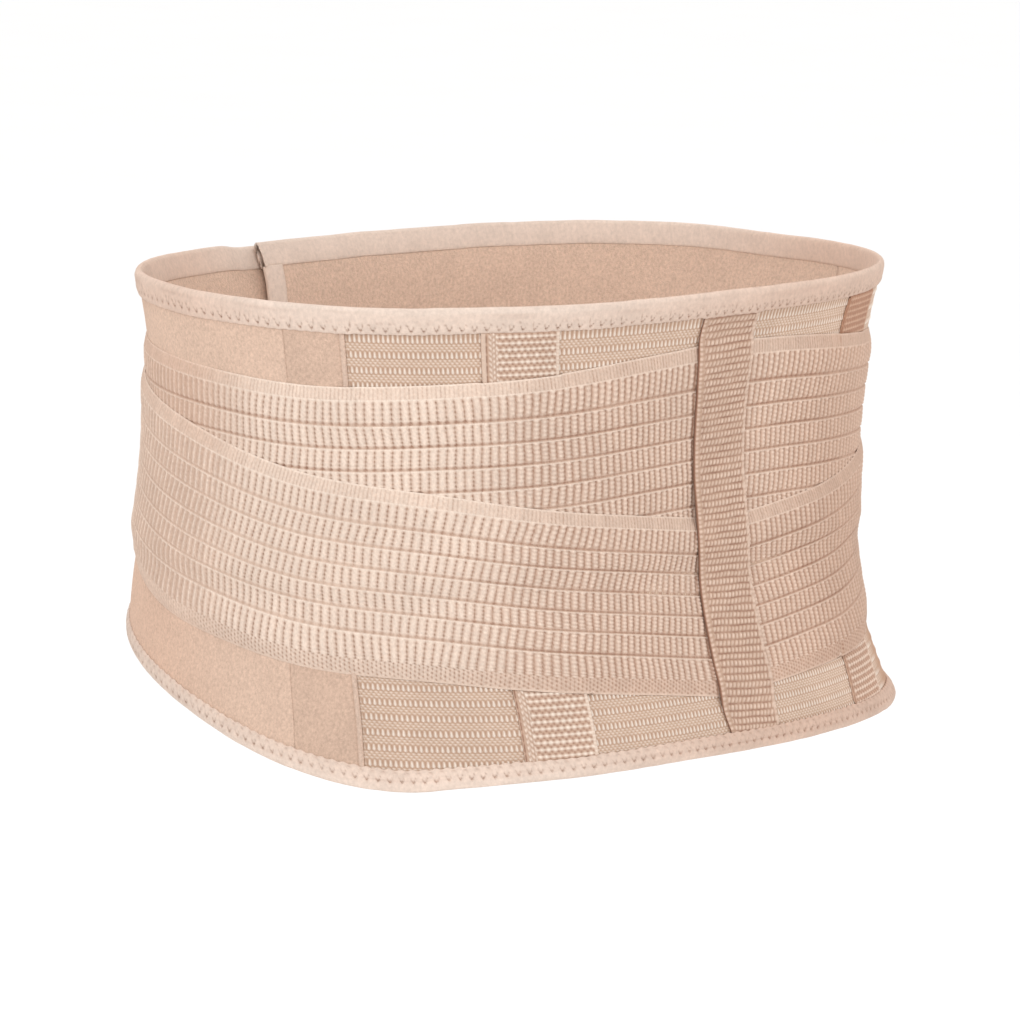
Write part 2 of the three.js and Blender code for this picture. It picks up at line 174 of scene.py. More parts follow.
def form(s, z):
    """The place on the form's surface."""
    share = np.asarray(s, float) / HALF_GIRTH
    share = np.where(share > 1, share - 2, np.where(share < -1, share + 2, share))
    breadth, depth, shift = breadth_at(z), depth_at(z), shift_at(z)
    u = (depth / breadth - ASPECTS[0]) / (ASPECTS[1] - ASPECTS[0])
    v = np.abs(share) * (len(SHARES) - 1)
    i = np.clip(u.astype(int), 0, len(ASPECTS) - 2)
    j = np.clip(v.astype(int), 0, len(SHARES) - 2)
    u, v = u - i, v - j
    angle = (TURN[i, j] * (1 - u) + TURN[i + 1, j] * u) * (1 - v) + (
        TURN[i, j + 1] * (1 - u) + TURN[i + 1, j + 1] * u
    ) * v
    side, fore = np.sin(angle), np.cos(angle)
    reach = (np.abs(side) ** SECTION_POWER + np.abs(fore) ** SECTION_POWER) ** (-1 / SECTION_POWER)
    return np.stack([-np.sign(share) * breadth * reach * side, shift - depth * reach * fore, z + 0 * share], -1)


def place(s, z, lift):
    """The place lifted off the form, straight out of its surface."""
    s, z, lift = np.broadcast_arrays(np.asarray(s, float), np.asarray(z, float), np.asarray(lift, float))
    out = np.cross(form(s, z + 2) - form(s, z - 2), form(s + 2, z) - form(s - 2, z))
    out /= np.linalg.norm(out, axis=-1, keepdims=True)
    return form(s, z) + out * lift[..., None]


_tables = {}


def noise(seed, x, y):
    """Smooth noise from -1 to 1 with cells of size 1, the same each run."""
    if seed not in _tables:
        _tables[seed] = np.random.default_rng(seed).uniform(-1, 1, (256, 256))
    t = _tables[seed]
    x, y = np.broadcast_arrays(np.asarray(x, float), np.asarray(y, float))
    i, j = np.floor(x).astype(int), np.floor(y).astype(int)
    u, v = x - i, y - j
    u, v = u * u * (3 - 2 * u), v * v * (3 - 2 * v)
    a, b, c, d = i % 256, (i + 1) % 256, j % 256, (j + 1) % 256
    return (t[a, c] * (1 - u) + t[b, c] * u) * (1 - v) + (t[a, d] * (1 - u) + t[b, d] * u) * v


def cell_noise(seed, i, j):
    """A number from -1 to 1 for each whole-numbered cell, the same each run."""
    if seed not in _tables:
        _tables[seed] = np.random.default_rng(seed).uniform(-1, 1, (256, 256))
    return _tables[seed][np.asarray(i, int) % 256, np.asarray(j, int) % 256]


# ------------------------------------------------------------------ meshes

# Values painted into each piece's colour: dark mixes in painted shade, pale painted highlight, warm a warmer colour
# that is mostly painted warm shade, and tone scales brightness, partly at random and partly as painted light and shade.
FIELDS = ("dark", "pale", "tone", "warm")


def make_piece(name, points, quads, tris, uv, fields):
    mesh = bpy.data.meshes.new(name)
    quads = np.asarray(quads, np.int32).reshape(-1, 4)
    tris = np.asarray(tris, np.int32).reshape(-1, 3)
    corners = np.concatenate([quads.ravel(), tris.ravel()])
    starts = np.concatenate([np.arange(len(quads)) * 4, len(quads) * 4 + np.arange(len(tris)) * 3])
    mesh.vertices.add(len(points))
    mesh.vertices.foreach_set("co", (points * 0.001).astype(np.float32).ravel())
    mesh.loops.add(len(corners))
    mesh.loops.foreach_set("vertex_index", corners.astype(np.int32))
    mesh.polygons.add(len(starts))
    mesh.polygons.foreach_set("loop_start", starts.astype(np.int32))
    layer = mesh.uv_layers.new(name="cloth")
    layer.data.foreach_set("uv", (uv[corners] * 0.01).astype(np.float32).ravel())
    for field in FIELDS:
        values = fields.get(field)
        if values is None:
            values = np.zeros(len(points)) if field != "tone" else np.ones(len(points))
        if field == "warm":
            values = values * 0.5
        mesh.attributes.new(field, "FLOAT", "POINT").data.foreach_set("value", values.astype(np.float32))
    mesh.update(calc_edges=True)
    mesh.validate()
    mesh.shade_smooth()
    piece = bpy.data.objects.new(name, mesh)
    bpy.context.scene.collection.objects.link(piece)
    return piece


def ring_of(columns, rows):
    """The indices round the edge of a grid, and how far round the four sides each one is."""
    i, j = np.arange(columns), np.arange(rows)
    index = np.concatenate([i[:-1] * rows, (columns - 1) * rows + j[:-1], i[:0:-1] * rows + rows - 1, j[:0:-1]])
    way = np.concatenate(
        [i[:-1] / (columns - 1), 1 + j[:-1] / (rows - 1), 2 + i[:-1] / (columns - 1), 3 + j[:-1] / (rows - 1)]
    )
    return index, way


def zipped(a, way_a, b, way_b, low_right_patch, end):
    """Triangles between two lines of points that run the same way."""
    tris, i, j = [], 0, 0
    n, m = (len(a), len(b)) if low_right_patch else (len(a) - 1, len(b) - 1)
    way_a, way_b = np.append(way_a, end), np.append(way_b, end)
    while i < n or j < m:
        if j == m or (i < n and way_a[i + 1] <= way_b[j + 1]):
            tris.append((a[i % len(a)], a[(i + 1) % len(a)], b[j % len(b)]))
            i += 1
        else:
            tris.append((a[i % len(a)], b[(j + 1) % len(b)], b[j % len(b)]))
            j += 1
    return np.array(tris, np.int32)


def shell(name, s, z, lift, under, fields, inside=(24, 12), blocks=None):
    """A closed piece of cloth. s, z and lift are grids, columns along s and rows up, of its outer face,
    whose edges are turned down to its under face. under(s, z) is the lift of that face, which has a
    coarser grid. blocks is (columns, rows, plain): cells of the outer face marked plain lie under
    another piece and are made with few triangles."""
    columns, rows = s.shape
    points, uv = [place(s, z, lift).reshape(-1, 3)], [np.stack([s, z], -1).reshape(-1, 2)]
    count = columns * rows
    i, j = np.meshgrid(np.arange(columns - 1), np.arange(rows - 1), indexing="ij")
    keep = np.ones(i.shape, bool)
    fans, middles = [], []
    if blocks is not None:
        cuts_s, cuts_z, plain = blocks
        for a in range(len(cuts_s) - 1):
            for b in range(len(cuts_z) - 1):
                if not plain[a, b]:
                    continue
                i0, i1, j0, j1 = cuts_s[a], cuts_s[a + 1], cuts_z[b], cuts_z[b + 1]
                keep[i0:i1, j0:j1] = False
                edge = np.concatenate(
                    [
                        np.arange(i0, i1) * rows + j0,
                        i1 * rows + np.arange(j0, j1),
                        np.arange(i1, i0, -1) * rows + j1,
                        i0 * rows + np.arange(j1, j0, -1),
                    ]
                )
                middle = count + len(middles)
                middles.append((s[i0:i1, j0:j1].mean(), z[i0:i1, j0:j1].mean(), np.median(lift[i0:i1, j0:j1])))
                fans.append(np.stack([np.roll(edge, -1), edge, np.full(len(edge), middle)], -1))
    if middles:
        m = np.array(middles)
        points.append(place(m[:, 0], m[:, 1], m[:, 2]))
        uv.append(m[:, :2])
        count += len(m)
    i, j = i[keep], j[keep]
    at = i * rows + j
    quads = [np.stack([at, at + 1, at + rows + 1, at + rows], -1)]
    # The under face.
    mc, mr = inside
    ci = np.linspace(0, columns - 1, mc).round().astype(int)
    cj = np.linspace(0, rows - 1, mr).round().astype(int)
    ci[0], ci[-1], cj[0], cj[-1] = 3, columns - 4, 3, rows - 4
    us, uz = s[np.ix_(ci, cj)], z[np.ix_(ci, cj)]
    points.append(place(us, uz, under(us, uz)).reshape(-1, 3))
    uv.append(np.stack([us, uz], -1).reshape(-1, 2))
    p, q = np.meshgrid(np.arange(mc - 1), np.arange(mr - 1), indexing="ij")
    at = count + (p * mr + q).ravel()
    quads.append(np.stack([at, at + mr, at + mr + 1, at + 1], -1))
    outer, way_outer = ring_of(columns, rows)
    inner, way_inner = ring_of(mc, mr)
    tris = [zipped(outer, way_outer, inner + count, way_inner, True, 4.0)] + fans
    points = np.concatenate(points)
    filled = {}
    for field, values in fields.items():
        rest = np.full(len(points) - columns * rows, 1.0 if field == "tone" else 0.0)
        filled[field] = np.concatenate([np.broadcast_to(values, s.shape).ravel(), rest])
    return make_piece(name, points, np.concatenate(quads), np.concatenate(tris), np.concatenate(uv), filled)


def edging(name, s, z, lift, outer_count, fields, flip):
    """A folded edging: each column is a ring, first its skin from foot to foot, then its cavity back."""
    columns, ring = s.shape
    i, j = np.meshgrid(np.arange(columns - 1), np.arange(ring), indexing="ij")
    i, j = i.ravel(), j.ravel()
    n = (j + 1) % ring
    quads = np.stack([i * ring + j, i * ring + n, (i + 1) * ring + n, (i + 1) * ring + j], -1)
    skin = np.arange(outer_count)
    cavity = np.concatenate([[0], np.arange(ring - 1, outer_count - 1, -1), [outer_count - 1]])
    cap = zipped(
        skin, np.linspace(0, 1, len(skin)), cavity, np.linspace(0, 1, len(cavity)), False, 1.0
    )
    cap = cap[(cap[:, 0] != cap[:, 1]) & (cap[:, 1] != cap[:, 2]) & (cap[:, 0] != cap[:, 2])]
    tris = np.concatenate([cap[:, ::-1], cap + (columns - 1) * ring])
    if flip:
        quads, tris = quads[:, ::-1], tris[:, ::-1]
    points = place(s, z, lift).reshape(-1, 3)
    filled = {k: np.broadcast_to(v, s.shape).ravel() for k, v in fields.items()}
    back = np.tile(np.arange(ring) * 1.0, columns).reshape(s.shape)
    uv = np.stack([s, z + 0 * back], -1).reshape(-1, 2)
    return make_piece(name, points, quads, tris, uv, filled)


# ------------------------------------------------------------------ materials


def linear(r, g, b):
    return tuple(((c / 255) / 12.92 if c <= 10 else ((c / 255 + 0.055) / 1.055) ** 2.4) for c in (r, g, b))


def scaled(colour, k):
    return tuple(c * k for c in colour) + (1.0,)


class Graph:
    def __init__(self, name):
        self.material = bpy.data.materials.new(name)
        self.material.use_nodes = True
        self.tree = self.material.node_tree
        self.tree.nodes.clear()

    def add(self, kind, **inputs):
        node = self.tree.nodes.new(kind)
        for key, value in inputs.items():
            node.inputs[key.replace("_", " ")].default_value = value
        return node

    def link(self, a, b):
        self.tree.links.new(a, b)

    def field(self, name):
        node = self.tree.nodes.new("ShaderNodeAttribute")
        node.attribute_name = name
        return node.outputs["Fac"]

    def mix(self, fac, a, b, blend="MIX"):
        node = self.tree.nodes.new("ShaderNodeMix")
        node.data_type = "RGBA"
        node.blend_type = blend
        self.link(fac, node.inputs[0])
        for socket, value in ((node.inputs[6], a), (node.inputs[7], b)):
            if isinstance(value, tuple):
                socket.default_value = value
            else:
                self.link(value, socket)
        return node.outputs[2]


def fabric(name, base, dark, pale, mottle=(500, 0.06), cloud=(45, 0.03), grain=(2600, 0.12), pile=None,
           threads=None, rough=(0.82, 0.96), sheen=0.25, specular=0.18):
    """Cloth: a base colour with two sizes of mottling, darker with painted shade in its hollows, paler with painted
    highlight on its raised yarns and warmer with painted warm shade where it turns from the light, as the mesh's own
    values say, with a fine grain in its relief."""
    g = Graph(name)
    coord = g.add("ShaderNodeTexCoord")
    out = g.add("ShaderNodeOutputMaterial")
    bsdf = g.add("ShaderNodeBsdfPrincipled")
    g.link(bsdf.outputs[0], out.inputs[0])
    fine = g.add("ShaderNodeTexNoise", Scale=mottle[0], Detail=4.0, Roughness=0.65)
    upright = g.add("ShaderNodeMapping", Scale=(1.0, 1.0, 0.85))
    g.link(coord.outputs["Object"], upright.inputs["Vector"])
    g.link(upright.outputs["Vector"], fine.inputs["Vector"])
    speckle = g.add("ShaderNodeMapRange")
    speckle.inputs["From Min"].default_value, speckle.inputs["From Max"].default_value = 0.28, 0.72
    speckle.inputs["To Min"].default_value, speckle.inputs["To Max"].default_value = 1 - mottle[1], 1 + mottle[1]
    g.link(fine.outputs["Fac"], speckle.inputs["Value"])
    # Painted shade in the hollows, painted highlight on the raised yarns, and painted warm shade where the cloth turns
    # from the light.
    colour = g.mix(g.field("dark"), base + (1.0,), dark + (1.0,))
    colour = g.mix(g.field("pale"), colour, pale + (1.0,))
    colour = g.mix(g.field("warm"), colour, (1.0, 0.80, 0.70, 1.0), "MULTIPLY")
    wide = g.add("ShaderNodeTexNoise", Scale=cloud[0], Detail=2.0)
    g.link(coord.outputs["Object"], wide.inputs["Vector"])
    shade = g.add("ShaderNodeMapRange")
    shade.inputs["From Min"].default_value, shade.inputs["From Max"].default_value = 0.25, 0.75
    shade.inputs["To Min"].default_value, shade.inputs["To Max"].default_value = 1 - cloud[1], 1 + cloud[1]
    g.link(wide.outputs["Fac"], shade.inputs["Value"])
    mottled = g.add("ShaderNodeMath")
    mottled.operation = "MULTIPLY"
    g.link(shade.outputs["Result"], mottled.inputs[0])
    g.link(speckle.outputs["Result"], mottled.inputs[1])
    strength = g.add("ShaderNodeMath")
    strength.operation = "MULTIPLY"
    g.link(mottled.outputs[0], strength.inputs[0])
    g.link(g.field("tone"), strength.inputs[1])
    final = g.add("ShaderNodeVectorMath")
    final.operation = "SCALE"
    g.link(colour, final.inputs[0])
    g.link(strength.outputs[0], final.inputs["Scale"])
    g.link(final.outputs[0], bsdf.inputs["Base Color"])
    # Relief: grain all over, with threads or pile where the cloth has them.
    grains = g.add("ShaderNodeTexNoise", Scale=grain[0], Detail=2.0)
    g.link(coord.outputs["Object"], grains.inputs["Vector"])
    bump = g.add("ShaderNodeBump", Strength=0.6, Distance=grain[1] * 0.001)
    g.link(grains.outputs["Fac"], bump.inputs["Height"])
    normal = bump.outputs["Normal"]
    if threads is not None:
        direction, per_mm, height = threads
        wave = g.add("ShaderNodeTexWave", Scale=per_mm * 31.4, Distortion=1.2, Detail=2.0)
        wave.inputs["Detail Scale"].default_value = 2.0
        wave.bands_direction = direction
        g.link(coord.outputs["UV"], wave.inputs["Vector"])
        lines = g.add("ShaderNodeBump", Strength=0.7, Distance=height * 0.001)
        g.link(wave.outputs["Fac"], lines.inputs["Height"])
        g.link(normal, lines.inputs["Normal"])
        normal = lines.outputs["Normal"]
    if pile is not None:
        tufts = g.add("ShaderNodeTexVoronoi", Scale=pile[0], Randomness=1.0)
        g.link(coord.outputs["Object"], tufts.inputs["Vector"])
        nap = g.add("ShaderNodeBump", Strength=0.8, Distance=pile[1] * 0.001)
        g.link(tufts.outputs["Distance"], nap.inputs["Height"])
        g.link(normal, nap.inputs["Normal"])
        normal = nap.outputs["Normal"]
    g.link(normal, bsdf.inputs["Normal"])
    matt = g.add("ShaderNodeMapRange")
    matt.inputs["To Min"].default_value, matt.inputs["To Max"].default_value = rough
    g.link(fine.outputs["Fac"], matt.inputs["Value"])
    g.link(matt.outputs["Result"], bsdf.inputs["Roughness"])
    bsdf.inputs["Specular IOR Level"].default_value = specular
    bsdf.inputs["Sheen Weight"].default_value = sheen
    bsdf.inputs["Sheen Roughness"].default_value = 0.55
    bsdf.inputs["Sheen Tint"].default_value = scaled(base, 1.1)
    return g.material


LIGHT = 0.78  # how much of a surface's colour the light gives back as display colour

# Each cloth's colours: its own, then the painted shade for its hollows, then the painted highlight for its raised
# yarns.
elastic = fabric(
    "elastic", scaled(linear(230, 203, 184), LIGHT)[:3], scaled(linear(168, 128, 106), LIGHT)[:3],
    scaled(linear(249, 230, 214), LIGHT)[:3], mottle=(1050, 0.12), threads=("Y", 2.2, 0.10),
)
velour = fabric(
    "velour", scaled(linear(224, 193, 172), LIGHT)[:3], scaled(linear(176, 138, 116), LIGHT)[:3],
    scaled(linear(238, 214, 197), LIGHT)[:3], mottle=(820, 0.20), cloud=(60, 0.04), pile=(1500, 0.25), sheen=0.45,
    rough=(0.9, 1.0),
)
net_cloth = fabric(
    "net", scaled(linear(218, 187, 164), LIGHT)[:3], scaled(linear(182, 143, 118), LIGHT)[:3],
    scaled(linear(255, 242, 229), LIGHT)[:3], mottle=(900, 0.07), threads=("Y", 2.0, 0.06),
)
stay_cloth = fabric(
    "stay_tape", scaled(linear(212, 179, 157), LIGHT)[:3], scaled(linear(160, 120, 100), LIGHT)[:3],
    scaled(linear(255, 238, 222), LIGHT)[:3], mottle=(900, 0.07), threads=("X", 2.0, 0.06),
)
centre_cloth = fabric(
    "centre_tape", scaled(linear(212, 179, 157), LIGHT)[:3], scaled(linear(158, 115, 94), LIGHT)[:3],
    scaled(linear(243, 216, 197), LIGHT)[:3], mottle=(900, 0.09), threads=("X", 2.2, 0.06),
)
binding_cloth = fabric(
    "binding", scaled(linear(243, 220, 204), LIGHT)[:3], scaled(linear(178, 141, 121), LIGHT)[:3],
    scaled(linear(251, 236, 223), LIGHT)[:3], mottle=(620, 0.10), cloud=(70, 0.045), threads=("Y", 2.6, 0.16),
)
tab_cloth = fabric(
    "tab", scaled(linear(221, 190, 169), LIGHT)[:3], scaled(linear(170, 130, 108), LIGHT)[:3],
    scaled(linear(240, 217, 200), LIGHT)[:3], mottle=(600, 0.06), pile=(1700, 0.16),
)
hook_cloth = fabric(
    "hook", scaled(linear(214, 184, 164), LIGHT)[:3], scaled(linear(160, 122, 102), LIGHT)[:3],
    scaled(linear(238, 216, 200), LIGHT)[:3], mottle=(1400, 0.12), pile=(1100, 0.35), sheen=0.1,
)


def finished(piece, node, material):
    piece.data.materials.append(material)
    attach(piece, "root")
    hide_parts(node)
    return piece


# ------------------------------------------------------------------ net across the back

NET_PITCH = 2.0
NET_PHASE = np.array([0, 0.25, 0.5, 0.75])
NET_AT = np.array([0.0, 0.10, 0.20, 0.29, 0.36, 0.42, 0.50, 0.58, 0.66, 0.75, 0.84, 0.93])
# For each row of a knitted repeat from its top, on a wale, beside it and between two wales.
NET_RISE = np.array(
    [(.10, .0, -.14), (.26, .02, -.18), (.40, .06, -.18), (.48, .10, -.17), (.20, .0, -.14), (-.14, -.08, -.06),
     (.0, .10, .16), (-.14, -.02, .02), (.16, .08, -.02), (.02, -.02, -.14), (.0, .10, .16), (-.14, -.06, -.02)]
)
# Darkness: painted shade where the knit opens between the wales.
NET_DARK = np.array(
    [(0, .40, .70), (0, .40, .75), (0, .36, .75), (0, .30, .70), (.1, .40, .6), (.7, .45, .35),
     (.25, .1, 0), (.60, .25, .15), (0, .1, .35), (.15, .25, .60), (.3, .1, 0), (.55, .35, .25)]
)
# Paleness: painted highlight on the raised yarns.
NET_PALE = np.array(
    [(.50, .05, 0), (.85, .10, 0), (1.0, .22, 0), (1.0, .34, 0), (.75, .1, 0), (0, 0, 0),
     (0, .25, .62), (0, 0, .15), (.66, .25, 0), (.15, 0, 0), (0, .25, .62), (0, 0, .1)]
)


def net_place(a, z):
    """s of a wale that crosses mid height at a: wales lean with the stay tapes and the net's edges."""
    stay0, net0 = stay_line(0.0), net_line(0.0)
    m = np.abs(a)
    stay, edge = stay_line(z), net_line(z) - 0.25
    near = m * stay / stay0
    far = stay + (m - stay0) * (edge - stay) / (net0 - 0.25 - stay0)
    return np.sign(a) * np.where(m <= stay0, near, far)


def build_net():
    edge = float(net_line(0.0)) - 0.25
    wales = int(2 * edge / NET_PITCH)
    a = ((np.arange(wales)[:, None] + NET_PHASE) * NET_PITCH - wales * NET_PITCH / 2).ravel()
    phase = np.tile(np.arange(4), wales)
    a = np.concatenate([[-edge, -edge + 0.15], a[(a > -edge + 0.3) & (a < edge - 0.3)], [edge - 0.15, edge]])
    skip = int((np.arange(wales * 4).size - (len(a) - 4)) // 2)
    phase = np.concatenate([[2, 2], phase[skip:skip + len(a) - 4], [2, 2]])
    side = np.array([0, 1, 2, 1])[phase]
    # Rows: knitted repeats where the net shows, a few plain rows under the bands.
    low_rows = [(-89.8 + 5.87 * k, 5.87) for k in range(7)]
    top_rows = [(83.6 - 6.45 * k, 6.45) for k in range(4, -1, -1)]
    zs, kinds, cuts = [], [], []
    for zone in (low_rows, top_rows):
        for centre, repeat in zone:
            cuts.append(len(zs) + 2)
            zs += list(centre + (0.19 - NET_AT[::-1]) * repeat)
            kinds += list(range(11, -1, -1))
        cuts.append(len(zs) + 1)
        if zone is low_rows:
            zs += [-45.0, -30.0, -15.0, 0.0, 15.0, 30.0, 45.0, 51.0]
            kinds += [-1] * 8
    zs, kinds = np.array(zs), np.array(kinds)
    zs = zs[:, None].repeat(len(a), 1).T
    s = net_place(a[:, None] + 0 * zs, zs)
    low, high = bottom_crest(s[:, :1]), top_crest(s[:, -1:])
    z = np.concatenate([low + WALL_INSET, low + WALL_INSET + 0.3, zs, high - WALL_INSET - 0.3, high - WALL_INSET], 1)
    kinds = np.concatenate([[-2, -1], kinds, [-1, -2]])
    s = net_place(a[:, None] + 0 * z, z)
    knit = kinds >= 0
    rise, dark, pale = (np.zeros(s.shape) for _ in range(3))
    for table, grid in ((NET_RISE, rise), (NET_DARK, dark), (NET_PALE, pale)):
        grid[:, knit] = table[kinds[knit]][:, side].T
    wob = noise(11, s / 3.0, z / 5.0)
    rise *= 1 + 0.25 * wob
    dark *= 1.12
    pale *= 1.12 + 0.15 * cell_noise(12, np.round(a / NET_PITCH)[:, None] + 60, np.floor(z / 6.4) + 40)
    lift = -0.2 + 0.8 * rise
    lift[:, [0, -1]] = -1.3
    lift[[0, -1], :] = -1.3
    # Pale raw edge of the net is on the side strips, and what lies under bands and tapes stays plain.
    cuts_s = list(range(2, len(a) - 2, 8))
    plain = np.zeros((len(cuts_s) - 1, len(cuts) - 1), bool)
    for x in range(len(cuts_s) - 1):
        for y in range(len(cuts) - 1):
            bs, bz = s[cuts_s[x]:cuts_s[x + 1] + 1, cuts[y]:cuts[y + 1] + 1], z[cuts_s[x]:cuts_s[x + 1] + 1, cuts[y]:cuts[y + 1] + 1]
            m = np.abs(bs)
            top, bottom = np.where(bs > 0, BANDS["left"]["upperTop"](m), BANDS["right"]["upperTop"](m)), np.where(
                bs > 0, BANDS["left"]["lowerBottom"](m), BANDS["right"]["lowerBottom"](m)
            )
            under_band = (bz < top - 3) & (bz > bottom + 3)
            under_tape = (np.abs(m - stay_line(bz)) < 13) | (np.abs(bs - CENTRE_SWAY(bz)) < CENTRE_HALF(bz) - 3)
            behind = (bz > top_crest(bs) - 9) | (bz < bottom_crest(bs) + 6.5)
            plain[x, y] = bool(np.all(under_band | under_tape | behind))
    # The net is painted brighter on the right as painted light, and darker low down, most of all on the left, and high
    # at the far left.
    tone = 1.0 + 0.02 * noise(13, s / 9, z / 7) + 0.09 * step(-s, 10, 90) - 0.05 * step(-z, 20, 60) * step(s, 20, 120)
    # Painted shadow on the net along the centre tape's left edge, where the net also loses its painted highlight.
    shade = 0.75 * np.exp(-((s - CENTRE_SWAY(z) - CENTRE_HALF(z) - 0.3) / 0.5) ** 2)
    # Low on the right beyond the stay tape, the net is painted plain, darker and warmer.
    low_right_patch = step(-s, 112, 128) * step(-z, 0, 40)
    dark, pale = (dark + 0.85 * shade) * (1 - 0.7 * low_right_patch), pale * (1 - shade) * (1 - 0.9 * low_right_patch)
    tone = tone - 0.17 * low_right_patch - 0.045 * step(-z, 20, 60) - 0.035 * step(s, 110, 150) * step(z, 0, 40)
    piece = shell("net_back", s, z, lift, lambda x, y: np.full(np.shape(x), -1.3),
                  {"dark": np.clip(dark, 0, 1), "pale": np.clip(pale, 0, 1), "tone": tone, "warm": 1.3 * low_right_patch}, inside=(72, 30),
                  blocks=(cuts_s, cuts, plain))
    finished(piece, "back_net", net_cloth)


# ------------------------------------------------------------------ pull bands

BAND_LEFT = np.array(
    [  # s, top and bottom edge of the upper band, top and bottom edge of the lower band
        (0, 75.8, -7.6, -0.2, -75.0),
        (20, 74.1, -8.4, 2.4, -71.8),
        (50, 71.7, -10.0, 6.3, -67.6),
        (90, 67.8, -12.6, 11.6, -63.3),
        (140, 65.1, -14.4, 20.0, -57.7),
        (190, 63.6, -16.2, 26.4, -55.2),
        (230, 65.1, -15.2, 34.6, -50.4),
        (270, 67.7, -13.6, 44.4, -43.8),
        (310, 70.7, -11.6, 53.2, -32.0),
        (345, 73.2, -9.8, 61.8, -21.0),
        (372, 74.6, -8.6, 70.0, -15.0),
    ]
)
BAND_RIGHT = BAND_LEFT.copy()
BAND_RIGHT[:8, 1:] = [
    (75.8, -7.6, -0.8, -73.0),
    (74.9, -8.0, 0.9, -72.0),
    (73.4, -9.0, 3.4, -70.4),
    (70.1, -11.0, 7.6, -68.9),
    (66.2, -13.6, 15.5, -63.6),
    (64.2, -15.8, 24.0, -57.8),
    (65.2, -15.2, 33.4, -51.4),
    (67.7, -13.6, 43.8, -44.0),
]
BANDS = {
    side: {
        name: smooth(table[:, 0], table[:, k + 1])
        for k, name in enumerate(("upperTop", "upperBottom", "lowerTop", "lowerBottom"))
    }
    for side, table in (("left", BAND_LEFT), ("right", BAND_RIGHT))
}
BED = np.array([(0, 0.7), (42, 0.7), (66, 1.6), (132, 1.6), (154, 1.55), (210, 1.55), (236, 1.5), (372, 1.5)])

RIB_PHASE = np.array([0, 0.15, 0.34, 0.5, 0.66, 0.85])
# Shares of a band's width at which its strips and rows end, from the bottom, near the back and further round.
GROOVES = {
    "upper": (17, (0, 0.06, 0.171, 0.294, 0.412, 0.528, 0.648, 0.775, 0.932, 1),
              136, (0, 0.08, 0.198, 0.318, 0.438, 0.560, 0.680, 0.801, 0.940, 1)),
    "lower": (24, (0, 0.085, 0.203, 0.325, 0.435, 0.553, 0.673, 0.784, 0.930, 1),
              182, (0, 0.090, 0.228, 0.346, 0.454, 0.570, 0.687, 0.803, 0.936, 1)),
}
RIM_EDGE, RIM, KNIT_A, KNIT_B, FOOT, GROOVE, BROW, BAR, HOLE, LIP, STREAK_A, STREAK_B = range(12)
STRIP_BOTTOM = [(0, RIM_EDGE), (0.016, RIM_EDGE), (0.09, RIM), (0.16, KNIT_A), (0.29, KNIT_B), (0.42, KNIT_A), (0.55, KNIT_B),
                (0.68, KNIT_A), (0.80, KNIT_B), (0.91, KNIT_A)]
ROW = [(0, FOOT), (0.055, GROOVE), (0.125, BROW), (0.175, BAR), (0.26, HOLE), (0.35, BAR), (0.44, HOLE), (0.54, BAR),
       (0.63, HOLE), (0.73, BAR), (0.82, HOLE), (0.90, BAR), (0.96, LIP)]
STRIP_TOP = [(0, STREAK_B), (0.17, STREAK_A), (0.34, STREAK_B), (0.51, STREAK_A), (0.68, STREAK_B), (0.84, STREAK_A),
             (0.93, RIM), (0.985, RIM_EDGE), (1.0, RIM_EDGE)]
